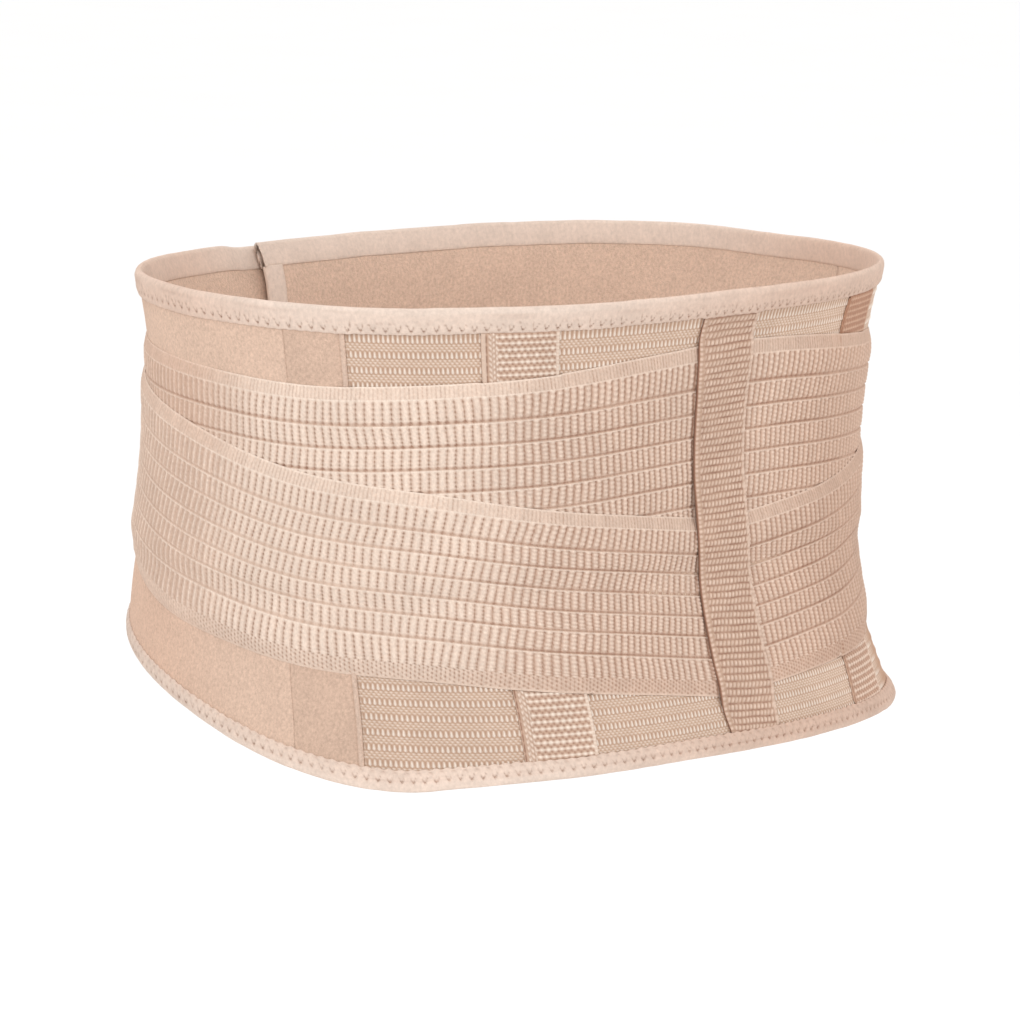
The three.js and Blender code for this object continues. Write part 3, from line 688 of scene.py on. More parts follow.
# Relief, darkness (painted shade in gaps, grooves and holes) and paleness (painted highlight on ribs, beads and lips)
# of each kind of row: in the gap between ribs, then beside it, on the flank and the rib.
# The knit differs round the band: open and beaded at mid length, drawn tight near the back, flat at the wearer's side.
_PLAIN = [(0, 0, 0, 0)] * 2
LOOKS = {
    "middle": (
        _PLAIN + [(.0, .06, .04, -.28), (-.28, .04, .06, .0), (-.46, -.26, -.08, -.04), (-.80, -.52, -.16, -.08),
                  (-.46, -.14, -.02, .02), (-.16, .0, .08, .12), (-.75, -.20, .08, .14), (.06, .14, .18, .20),
                  (-.14, .03, .03, -.16), (-.18, .03, .03, -.12)],
        [(.0, .0, .0, .0), (.0, .0, .0, .0), (.14, .06, .34, 1.), (1., .34, .06, .14), (.80, .44, .22, .16),
         (.92, .78, .44, .34), (.80, .38, .12, .06), (.32, .09, .0, .0), (.90, .35, .0, .0), (.08, .0, .0, .0),
         (.22, .03, .03, .32), (.34, .03, .03, .20)],
        [(.9, .9, .9, .9), (.7, .9, .7, .9), (.25, .4, .35, .0), (.0, .35, .4, .25), (0, 0, 0, 0), (0, 0, 0, 0),
         (.0, .0, .15, .2), (.15, .38, .58, .66), (.0, .16, .55, .64), (.6, .8, .95, 1.),
         (.2, .42, .42, .1), (.1, .42, .42, .2)],
    ),
    "side": (
        _PLAIN + [(.0, .04, .04, -.14), (-.14, .04, .04, .0), (-.26, -.22, -.18, -.16), (-.46, -.42, -.36, -.32),
                  (-.24, -.20, -.12, .10), (-.16, -.14, -.06, .20), (-.28, -.20, -.08, .20), (.10, .14, .18, .24),
                  (-.06, .02, .02, -.08), (-.08, .02, .02, -.06)],
        [(.0, .0, .0, .0), (.0, .0, .0, .0), (.12, .06, .06, .38), (.38, .06, .06, .12), (.32, .28, .24, .18),
         (1., .92, .84, .80), (.46, .42, .30, .0), (.30, .28, .20, .0), (.42, .34, .22, .0), (.0, .0, .0, .0),
         (.17, .12, .12, .22), (.22, .12, .12, .17)],
        [(.4, .4, .4, .4), (.3, .5, .3, .5), (.15, .2, .15, .0), (.0, .15, .2, .15), (0, 0, 0, 0), (0, 0, 0, 0),
         (.0, .0, .1, .85), (.0, .0, .12, .95), (.0, .0, .06, .62), (.75, .8, .85, .95),
         (.0, .1, .1, .0), (.0, .1, .1, .0)],
    ),
    "back": (
        _PLAIN + [(.0, .06, .04, -.22), (-.22, .04, .06, .0), (-.42, -.36, -.30, -.28), (-.66, -.58, -.50, -.46),
                  (-.42, -.24, -.12, -.08), (-.38, -.10, .16, .28), (-.62, -.34, -.10, -.04), (.06, .12, .16, .18),
                  (-.12, .03, .03, -.14), (-.16, .03, .03, -.10)],
        [(.0, .0, .0, .0), (.0, .0, .0, .0), (.20, .12, .42, .96), (.96, .42, .12, .20), (.52, .44, .36, .34),
         (.92, .84, .72, .66), (.60, .36, .20, .15), (.62, .32, .02, .0), (.88, .54, .20, .14), (.06, .0, .0, .0),
         (.30, .11, .11, .42), (.42, .11, .11, .30)],
        [(.9, .9, .9, .9), (.6, .8, .6, .8), (.05, .12, .1, .0), (.0, .1, .12, .05), (0, 0, 0, 0), (0, 0, 0, 0),
         (.0, .0, .08, .12), (.0, .12, .62, .88), (.0, .0, .05, .06), (.55, .65, .70, .75),
         (.1, .3, .3, .05), (.05, .3, .3, .1)],
    ),
}


def bed(m):
    return np.interp(m, BED[:, 0], BED[:, 1])


def rib_feet(sign):
    """Where the ribs of a band begin: closer together near the back on the left than on the right."""
    feet = [0.0]
    while feet[-1] < BAND_END - BAND_START - 3:
        m = feet[-1] + BAND_START
        feet.append(feet[-1] + float(3.1 + 0.55 * step(m, 35, 95) if sign > 0 else 3.5 + 1.1 * step(m, 35, 130)))
    return BAND_START + 0.5 + np.array(feet) * (BAND_END - BAND_START - 1.0) / feet[-1]


def build_band(side, which):
    sign = 1 if side == "left" else -1
    edges = BANDS[side]
    top, bottom = edges[which + "Top"], edges[which + "Bottom"]
    feet = rib_feet(sign)
    ribs = len(feet) - 1
    a = (feet[:-1, None] + RIB_PHASE * np.diff(feet)[:, None]).ravel()
    phase = np.tile(np.array([0, 1, 2, 3, 2, 1]), ribs)
    rib = np.arange(ribs).repeat(6)
    a = np.concatenate([[BAND_START], a, [BAND_END - 0.5, BAND_END]])
    phase = np.concatenate([[0], phase, [0, 0]])
    rib = np.concatenate([[0], rib, [ribs, ribs]])
    at, kind, cuts, row_of = [], [], [], []
    for part in range(9):
        rows = STRIP_BOTTOM if part == 0 else STRIP_TOP if part == 8 else ROW
        cuts.append(len(at))
        at += [part + t for t, _ in rows]
        kind += [k for _, k in rows]
        row_of += [part] * len(rows)
    cuts.append(len(at) - 1)
    at, kind, row_of = np.array(at), np.array(kind), np.array(row_of)
    lowest = {FOOT: HOLE, GROOVE: BAR, BROW: HOLE}
    kind = np.array([lowest.get(k, k) if r == 1 else k for k, r in zip(kind.tolist(), row_of.tolist())])
    near_s, near, far_s, far = GROOVES[which]
    near_v, far_v = np.interp(at, np.arange(10), near), np.interp(at, np.arange(10), far)
    share = np.clip((a - near_s) / (far_s - near_s), 0, 1)[:, None]
    v = near_v * (1 - share) + far_v * share
    # Ribs stand square to the band, so columns lean where the band runs uphill.
    middle = lambda x: (top(x) + bottom(x)) / 2
    lean = (middle(a + 3) - middle(a - 3)) / 6 * step(a, 3, 24) * step(BAND_END - a, 0, 20)
    m = a[:, None] + 0 * v
    for _ in range(3):
        z = bottom(m) + v * (top(m) - bottom(m))
        m = a[:, None] - lean[:, None] * (z - middle(a)[:, None])
    # Ribs sway a little, and each row of them leans its own way.
    sway = 0.22 * noise(21 + sign, a[:, None] / 9, z / 7)
    own = 0.75 * noise(23 + sign, a[:, None] / 42, row_of[None, :] * 3.3 + (0 if which == "upper" else 50.0))
    sway = sway + own * (2 * (at - np.floor(at)) - 1)[None, :] * ((row_of > 0) & (row_of < 8))[None, :]
    m = m + sway * step(a, 3, 14)[:, None] * step(BAND_END - a, 0, 12)[:, None]
    z = bottom(m) + v * (top(m) - bottom(m))
    # The three looks of the knit, blended along the band.
    to_side = step(a, 215, 265)[:, None]
    to_back = 1 - (step(a, 85, 145) if sign > 0 else step(a, 150, 215))[:, None]
    weight = {"side": to_side, "back": to_back, "middle": 1 - to_side - to_back}
    straight = kind[None, :] + 0 * rib[:, None]
    turned = np.where(straight == BAR, HOLE, np.where(straight == HOLE, BAR, straight))
    turned = np.where((rib % 2 > 0)[:, None], turned, straight)
    rise, dark, pale = (
        sum(
            w * np.array(LOOKS[look][k])[straight if look == "middle" else turned, phase[:, None]]
            for look, w in weight.items()
        )
        for k in range(3)
    )
    # Row grooves come and go along the band, and there is none beside its two edge strips.
    if which == "upper":
        groove = np.interp(a, [0, 190, 240, 310], [1.0, 1.05, 1.0, 0.9])[:, None]
    else:
        groove = np.interp(a, [0, 105, 140, 180, 230, 310], [1.0, 1.0, 0.72, 0.48, 0.42, 0.5])[:, None]
    groove = groove * (1 + 0.22 * noise(39 + sign, a[:, None] / 28, row_of[None, :] * 3.7))
    in_groove = np.isin(kind, (FOOT, GROOVE, BROW))[None, :]
    rise = np.where(in_groove, rise * groove, rise)
    dark = np.where(in_groove, dark * groove, dark)
    # Each row is a little pillow, and no two ribs are quite alike.
    t = at - np.floor(at)
    rise += np.where((row_of > 0) & (row_of < 8), 0.16 * np.sin(np.pi * np.clip(t, 0, 1)), 0)[None, :]
    odd = cell_noise(31 + sign, rib[:, None] + 0 * kind[None, :], row_of[None, :] + (9 if which == "upper" else 40))
    rise = rise * (1 + 0.12 * odd)
    grid = np.arange(len(a))[:, None], np.arange(len(kind))[None, :] + (0 if which == "upper" else 120)
    streak = 1 + 0.6 * cell_noise(30 + sign, np.arange(len(a)), 7)[:, None]
    dark = np.where((row_of == 8)[None, :], dark * streak, dark)
    dark = dark * (1 + 0.24 * cell_noise(33 + sign, *grid)) + 0.07 * cell_noise(34 + sign, *grid)
    pale = pale * (1 + (0.30 + 0.55 * to_side) * cell_noise(36 + sign, *grid)) + 0.10 * cell_noise(38 + sign, *grid)
    # The bottom rim does not catch the light as the top one does.
    pale = np.where(((row_of == 0) & np.isin(kind, (RIM_EDGE, RIM)))[None, :], 0.3 * pale, pale)
    tone = 1 + 0.03 * odd + 0.02 * noise(35, m / 25, z / 18)
    # Drawn tight on the right, the knit loses its contrast; there it is painted warmer and darker as shade, and a
    # painted shadow lies beside the centre tape.
    if sign < 0:
        fade = 1 - 0.45 * step(m, 55, 130)
        dark, pale = dark * fade, pale * fade
        warm = 0.50 + 0.45 * step(m, 20, 90) + (0.10 if which == "lower" else 0.0)
        tone = tone - (0.09 if which == "lower" else 0.035) * step(m, 20, 90)
        tone = tone - 0.07 * (row_of == 8)[None, :]
        dark = dark + 0.25 * np.exp(-((m + CENTRE_SWAY(z) - CENTRE_HALF(z) - 0.3) / 0.7) ** 2)
    else:
        # On the left: painted warmer and a little darker near the back and at the wearer's side, with a dark painted
        # shadow line beside the centre tape.
        warm = 0.40 * (1 - step(m, 40, 140)) + (0.75 * step(m, 205, 265) if which == "upper" else 0.25 * step(m, 205, 265))
        tone = tone - 0.02 * (1 - step(m, 40, 140)) - (0.05 * step(m, 205, 265) if which == "upper" else 0.0)
        tone = tone - 0.05 * (row_of == 8)[None, :] * (1 - step(m, 60, 130))
        if which == "upper":
            dark = dark * (1 - 0.18 * step(m, 195, 240))
            tone = tone + 0.025 * step(m, 105, 150) * (1 - step(m, 200, 235))
        dark = dark + 0.85 * np.exp(-((m - CENTRE_SWAY(z) - CENTRE_HALF(z) - 0.2) / 0.55) ** 2)

    def base_of(bm, bz):
        """Lift of the band's under face, which comes down at its edges onto what lies below."""
        low = bed(bm)
        over_tape = np.abs(bm - stay_line(bz)) - (tape_wider(bz) * (bm > stay_line(bz)) if sign > 0 else 0)
        ground = np.maximum(0.04 + 0.76 * step(bm, 171, 175), 1.32 * (1 - step(over_tape, 15.8, 17.6)))
        from_top, from_bottom = top(bm) - bz, bz - bottom(bm)
        if which == "lower":
            foot = edges["upperBottom"](bm) - 2
            low = low + 2.1 * step(bz, foot - 12, foot)
            low = bed(bm) + 1.46 + (low - bed(bm) - 1.46) * step(from_top, -1, 8)
            return np.where(bz < foot - 12, ground + (low - ground) * step(from_bottom, -1, 11), low)
        return ground + (low - ground) * step(from_top, -1, 11)

    base = base_of(m, z) + 0.12 * noise(37 + sign, m / 38, z / 30) * step(v * (1 - v), 0, 0.2)
    # Its edges are thinner than its ribs.
    from_edge = np.minimum(v, 1 - v) * (top(m) - bottom(m))
    lift = base + 0.34 + 1.01 * step(from_edge, -0.6, 5.0) + rise * (0.4 + 0.6 * step(from_edge, 0, 3))
    lift = np.where((kind == RIM)[None, :], base + 0.30, lift)
    lift = np.where((kind == RIM_EDGE)[None, :], base + 0.06, lift)
    lift[:, [0, -1]] = base[:, [0, -1]] - 0.02
    lift[[0, -1], :] = base[[0, -1], :] + 0.1
    warm = warm + 0 * m
    cuts_s = list(range(1, len(a) - 1, 6))
    # What lies under the lower band, the centre tape and the end tab stays plain.
    plain = np.zeros((len(cuts_s) - 1, 9), bool)
    for x in range(len(cuts_s) - 1):
        for y in range(0 if which == "upper" else 1, 8):
            i0, i1, j0, j1 = cuts_s[x], cuts_s[x + 1] + 1, cuts[y], cuts[y + 1] + 1
            bm, bz = m[i0:i1, j0:j1], z[i0:i1, j0:j1]
            hidden = (bm < 10) | (bm > 361)
            if which == "upper":
                hidden = hidden | (bz < edges["lowerTop"](bm) - 3)
            plain[x, y] = bool(np.all(hidden))
    blocks = (cuts_s, cuts, plain)
    s = m * sign
    if sign < 0:
        s, z, lift, dark, pale, tone, warm = (x[::-1] for x in (s, z, lift, dark, pale, tone, warm))
        last = len(a) - 1
        blocks = ([last - c for c in cuts_s[::-1]], cuts, plain[::-1])
    piece = shell(f"pull_band_{which}_{side}", s, z, lift, lambda us, uz: base_of(np.abs(us), uz) + 0.03,
                  {"dark": np.clip(dark, 0, 1), "pale": np.clip(pale, 0, 1), "tone": tone, "warm": warm},
                  inside=(48, 14), blocks=blocks)
    finished(piece, f"band_{which}_{side}", elastic)


# ------------------------------------------------------------------ side strips and wings


def build_strip(side):
    sign = 1 if side == "left" else -1
    # Columns: a thin pale lip that laps the edge of the net, then the cloth as far as the seam.
    lip = np.array([0.05, 0.0, -0.9, -0.86, -0.7, -0.3, 0.3, 0.8, 1.2, 1.5, 1.9, 2.4])
    across = np.concatenate([np.linspace(0.11, 0.95, 30), [0.97, 0.985, 0.9993, 1.0]])
    up = np.concatenate([[0, 0.004], np.linspace(0.012, 0.988, 150), [0.996, 1.0]])
    index, w = np.meshgrid(np.arange(len(lip) + len(across)), up, indexing="ij")
    z = -97 + 192 * w
    for _ in range(3):
        net, seam = net_line(z), seam_line(z)
        far = net + 0.25 + np.append(lip * 0, across)[index] * (seam - 0.02 - net - 0.25)
        m = np.where(index < len(lip), net + np.append(lip, across * 0)[index], far)
        z = bottom_crest(sign * m) + WALL_INSET + w * (top_crest(m) - bottom_crest(sign * m) - 2 * WALL_INSET)
    from_net, from_seam = m - net_line(z), seam_line(z) - m
    roll = step(from_net, -1.0, -0.3) * (1 - step(from_net, 0.9, 1.5))
    lift = 0.42 + 0.36 * step(from_net, 1.6, 6) + 0.12 * roll
    lift -= 0.22 * np.exp(-((from_net - 1.5) / 0.4) ** 2) + 0.10 * np.exp(-(from_seam / 0.7) ** 2)
    lift += 0.06 * noise(41, m / 7, z / 9) + 0.05 * noise(43, m / 1.8, z / 2.4)
    stitch = 0.5 + 0.5 * np.sin(2 * np.pi * z / 3.4)
    low = step(z, -92, -60)
    # Painted shade in the seam beside the wing and in the stitched groove along the lip.
    dark = (0.05 + 0.20 * low) * (0.7 + 0.3 * noise(49, 0.5, z / 4)) * np.exp(-(from_seam / 0.45) ** 2)
    dark += (0.12 + 0.26 * stitch) * np.exp(-((from_net - 1.5) / 0.35) ** 2)
    pale = 0.42 * roll * (1 + 0.3 * noise(44, m, z / 2))
    lift[2], lift[3], lift[4] = 0.02, 0.08, 0.26
    lift[1] = -0.2
    lift[[0, -1], :] = -1.3
    lift[:, [0, -1]] = -1.3
    tone = 0.865 + 0.05 * step(z, 0, 90) + 0.02 * noise(42, m / 12, z / 14)
    warm = 0.15 + 0 * z
    s = m * sign
    if sign < 0:
        s, z, lift, dark, pale, tone, warm = (x[::-1] for x in (s, z, lift, dark, pale, tone, warm))
    piece = shell(f"casing_{side}", s, z, lift, lambda x, y: np.full(np.shape(x), -1.3),
                  {"dark": np.clip(dark, 0, 1), "pale": np.clip(pale, 0, 1), "tone": tone, "warm": warm}, inside=(8, 30))
    finished(piece, f"side_strip_{side}", velour)


def build_wing(side):
    sign = 1 if side == "left" else -1
    end = PANEL_END - WALL_INSET
    across = np.concatenate([[0, 0.00006, 0.0012, 0.003, 0.005, 0.008], np.linspace(0.012, 0.997, 116), [0.9985, 1.0]])
    up = np.concatenate([[0, 0.004], np.linspace(0.012, 0.988, 64), [0.996, 1.0]])
    u, w = np.meshgrid(across, up, indexing="ij")
    z = -60 + 150 * w
    for _ in range(4):
        m = seam_line(z) + 0.02 + u * (end - seam_line(z) - 0.02)
        z = bottom_crest(sign * m) + WALL_INSET + w * (top_crest(m) - bottom_crest(sign * m) - 2 * WALL_INSET)
    from_seam = m - seam_line(z)
    base = front_lift(m * sign)
    lift = base + 0.78 - 0.10 * np.exp(-(from_seam / 0.7) ** 2) + 0.12 * noise(45 + sign, m / 26, z / 22)
    lift += 0.05 * noise(48 + sign, m / 2.6, z / 3.2)
    # Painted shade in the seam beside the casing.
    dark = (0.05 + 0.20 * step(z, -92, -60)) * (0.7 + 0.3 * noise(49, 0.5, z / 4)) * np.exp(-(from_seam / 0.45) ** 2)
    lift[[0, -1], :] = base[[0, -1], :] - 1.3
    lift[:, [0, -1]] = base[:, [0, -1]] - 1.3
    # Darker low down, and warmer low towards the wearer's side.
    tone = 1 + 0.02 * noise(46 + sign, m / 16, z / 20) - 0.03 * step(-z, 0, 40)
    warm = 0.5 * step(m, 220, 290) * step(-z, 0, 40)
    s = m * sign
    if sign < 0:
        s, z, lift, dark, tone, warm = (x[::-1] for x in (s, z, lift, dark, tone, warm))
    piece = shell(f"wing_{side}", s, z, lift, lambda x, y: front_lift(x) - 1.3 + 0.06 * noise(47, x / 15, y / 15),
                  {"dark": np.clip(dark, 0, 1), "tone": tone, "warm": warm}, inside=(80, 40))
    finished(piece, f"side_panel_{side}", velour)


# ------------------------------------------------------------------ folded edgings

# Columns of one stitch of an edging's seam, from the foot of its dent.
STITCH_AT = np.array([0.0, 0.42, 0.88, 1.42])


def wall_face(s):
    """Lift of the wall's outer face under an edging."""
    m = np.abs(s)
    return 0.75 * step(m, NET_END - 2, NET_END + 3) - 0.1 + front_lift(s)


def stitch_columns(length, pitch):
    """Places along an edging, and how far each is from the nearest foot of a dent."""
    count = int(round(length / pitch))
    pitch = length / count
    one = np.concatenate([STITCH_AT, [pitch / 2], pitch - STITCH_AT[:0:-1]])
    along = np.append((np.arange(count)[:, None] * pitch + one).ravel(), length)
    number = np.append(np.repeat(np.arange(count), len(one)), count)
    off = along - np.round(along / pitch) * pitch
    return along, off, number, pitch


def seam_marks(back, off, pitch, width, top):
    """Depth and darkness of the zigzag seam: a dent shaped like a U in each stitch, small pricks between; the darkness
    is painted shade in the dents.
    """
    if top:
        curve = width - 1.6 - 3.0 * (np.abs(off) / 1.35) ** 2
    else:
        curve = 3.1 + 2.7 * (np.abs(off) / 1.30) ** 2
    arm = np.clip(1 - (0.24 if top else 0.42) * (np.abs(off) / 1.35) ** 1.5, 0, 1) * (1 - step(np.abs(off), 1.25, 1.7))
    line = np.exp(-((back - curve) / 0.42) ** 2) * arm
    heart = np.exp(-(off / 0.55) ** 2 - ((back - curve) / 0.5) ** 2)
    prick_at = 5.7 if top else width - 1.1
    prick = np.exp(-((np.abs(off) - pitch / 2) / 0.45) ** 2 - ((back - prick_at) / 0.5) ** 2)
    between = step(np.abs(off), pitch * 0.2, pitch * 0.5)
    deep = -0.42 * line - 0.22 * heart - (0.16 if top else 0.34) * prick
    deep += 0.16 * between * np.exp(-((back - (width - 2.2 if top else width - 3.0)) / 1.6) ** 2)
    dark = (0.74 if top else 0.54) * line + (0.2 if top else 0.34) * heart + (0.26 if top else 0.45) * prick
    return deep, np.clip(dark, 0, 1)


def edging_rows(width, top):
    if top:
        outer = [width, width - 0.1, width - 0.4, width - 0.9, width - 1.3, width - 1.65, width - 2.0, width - 2.4,
                 width - 2.9, width - 3.4, width - 4.0, width - 4.8, 5.2, 4.2, 3.0, 1.9, 1.0, 0.4]
    else:
        outer = [width, width - 0.1, width - 0.35, width - 0.75, width - 1.15, width - 1.6, width - 2.1, width - 2.7,
                 width - 3.3, width - 3.9, width - 4.4, width - 4.9, width - 5.4, 1.9, 1.1, 0.5]
    inner = [0.0, 0.5, 2.0, width - 1.4, width - 0.3, width]
    return np.array(outer + inner + [width * 0.5, 2.2, 2.2, width * 0.5]), len(outer), len(outer) + len(inner)


def edging_lift(back, base, wall, width, first, skin, thick):
    """Lift of each row of an edging's section: the outer leg, the fold, the inner leg and the cavity."""
    half = np.clip(back / width, 0, 1)[None, :]
    hump = np.clip(4 * half * (1 - half), 0, 1) ** 0.45
    fold = np.sqrt(np.clip(1 - (1 - np.clip(back / 2.2, 0, 1)) ** 2, 0, 1))[None, :]
    outside = wall + 0.35 + thick * hump
    lift = base - 0.3 + (outside - base + 0.3) * fold
    lift[:, 0], lift[:, 1], lift[:, 2] = wall[:, 0] + 0.08, wall[:, 1] + 0.42, wall[:, 2] + 0.66
    inside = base - 1.42 - 0.85 * hump
    lift[:, first:skin] = (base - 0.3 + (inside - base + 0.3) * fold)[:, first:skin]
    lift[:, skin - 1] = base[:, skin - 1] - 1.38
    lift[:, skin:skin + 2] = base[:, skin:skin + 2] - 1.34
    lift[:, skin + 2:] = wall[:, skin + 2:] + 0.03
    return lift


def build_edging(which):
    top = which == "top"
    width = TOP_WIDTH if top else BOTTOM_WIDTH
    back, first, skin = edging_rows(width, top)
    along, off, number, pitch = stitch_columns(2 * PANEL_END, 5.0 if top else 4.5)
    s = along[:, None] - PANEL_END + 0 * back[None, :]
    crest = top_crest(s) if top else bottom_crest(s)
    crest = crest + 0.2 * noise(51 if top else 52, s / 17, 0.5) + 0.08 * noise(53, s / 5, 0.5)
    # The free edge is drawn in a little at each stitch.
    wave = 0.16 * noise(54 if top else 55, s / 9, 1.5)
    scallop = np.cos(2 * np.pi * off / pitch)[:, None] * (0.12 if top else 0.30)
    reach = back[None, :] + (wave + scallop) * (np.arange(len(back)) < 4)[None, :]
    z = crest - reach if top else crest + reach
    end = 88.0 if top else -89.0
    over = 1 - step(np.abs(s - CENTRE_SWAY(end)) - CENTRE_HALF(end), -0.3, 3.0)
    wall = wall_face(s) + 0.9 * over * np.clip(back / width, 0, 1)[None, :]
    lift = edging_lift(back, front_lift(s), wall, width, first, skin, 1.05)
    # Stitches lean and vary, most of all towards the front.
    odd = cell_noise(56 if top else 57, number, 3)[:, None]
    tilt = 0.22 * noise(62 if top else 63, s[:, :1] / 60, 0.5) + 0.12 * odd
    higher = 1.3 * step(s, 205, 285) if top else 0 * s
    deep, dark = seam_marks(back[None, :] + 0.12 * odd + higher, off[:, None] + tilt * (back[None, :] - width + 2), pitch, width, top)
    outside = (np.arange(len(back)) < first)[None, :]
    deep, dark = deep * outside * (1 + 0.2 * odd), dark * outside * (1 + 0.2 * odd)
    lift += deep + 0.05 * outside * noise(58, s / 2.6, back[None, :] / 1.3)
    # Painted shade along the edging's foot, where it meets the cloth below.
    dark[:, 0] = 0.25
    dark[:, 1] = np.maximum(dark[:, 1], 0.08)
    # Fine creases along the fold, with painted shade in their hollows and painted highlight on their ridges.
    crease = noise(64, s / 18, back[None, :] / 0.7) * np.exp(-((back[None, :] - 2.8) / 2.0) ** 2) * outside
    lift += 0.10 * crease
    dark = dark + 0.26 * np.clip(-crease, 0, 1)
    # Painted highlight along the rounded fold and on the crease ridges.
    pale = 0.25 * np.exp(-((back[None, :] - 1.0) / 1.5) ** 2) * outside + 0.12 * np.clip(crease, 0, 1)
    tone = 1 + 0.025 * noise(59, s / 22, back[None, :] / 4) + 0.02 * noise(60, s / 4, back[None, :] / 1.5)
    tone = tone + 0.03 * cell_noise(65, np.arange(len(along))[:, None], np.arange(len(back))[None, :])
    # Painted shade: the edgings are darker and warmer at the right of the back and at the left side, where they turn
    # from the light; the bottom one also gets extra painted shade on the right.
    right = (step(-s, -110, 60) if top else 0.5 * step(-s, -110, 40)) * (1 - step(-s, 200, 300))
    left = step(s, 190, 270) * (1 - step(s, 380, 440))
    warm = 0.9 * right + 0.75 * left if top else 0.1 + 1.9 * right
    tone = tone - (0.05 if top else 0.165) * right - 0.055 * left
    dark = dark + (0.0 if top else 0.20) * right
    piece = edging(f"edge_{which}", s, z, lift, skin,
                   {"dark": np.clip(dark, 0, 1), "pale": pale, "tone": tone, "warm": warm}, flip=not top)
    finished(piece, f"{which}_binding", binding_cloth)


def build_end_edging(side):
    sign = 1 if side == "left" else -1
    back, first, skin = edging_rows(TOP_WIDTH, True)
    m = PANEL_END - back[None, :]
    low, high = bottom_crest(m) + BOTTOM_WIDTH - 0.4, top_crest(m) - TOP_WIDTH + 0.4
    along, off, number, pitch = stitch_columns(float((high - low).mean()), 5.0)
    z = low + (along / along[-1])[:, None] * (high - low)
    s = m * sign + 0 * z
    base = front_lift(s)
    lift = edging_lift(back, base, base + 0.65, TOP_WIDTH, first, skin, 1.05)
    deep, dark = seam_marks(back[None, :] + 0 * z, off[:, None] + 0 * z, pitch, TOP_WIDTH, True)
    outside = (np.arange(len(back)) < first)[None, :]
    lift += deep * outside
    tone = 1 + 0.03 * noise(61, z / 15, back[None, :] / 4)
    piece = edging(f"edge_end_{side}", s, z, lift, skin, {"dark": dark * outside, "tone": tone}, flip=sign > 0)
    finished(piece, f"end_binding_{side}", binding_cloth)


# ------------------------------------------------------------------ tapes


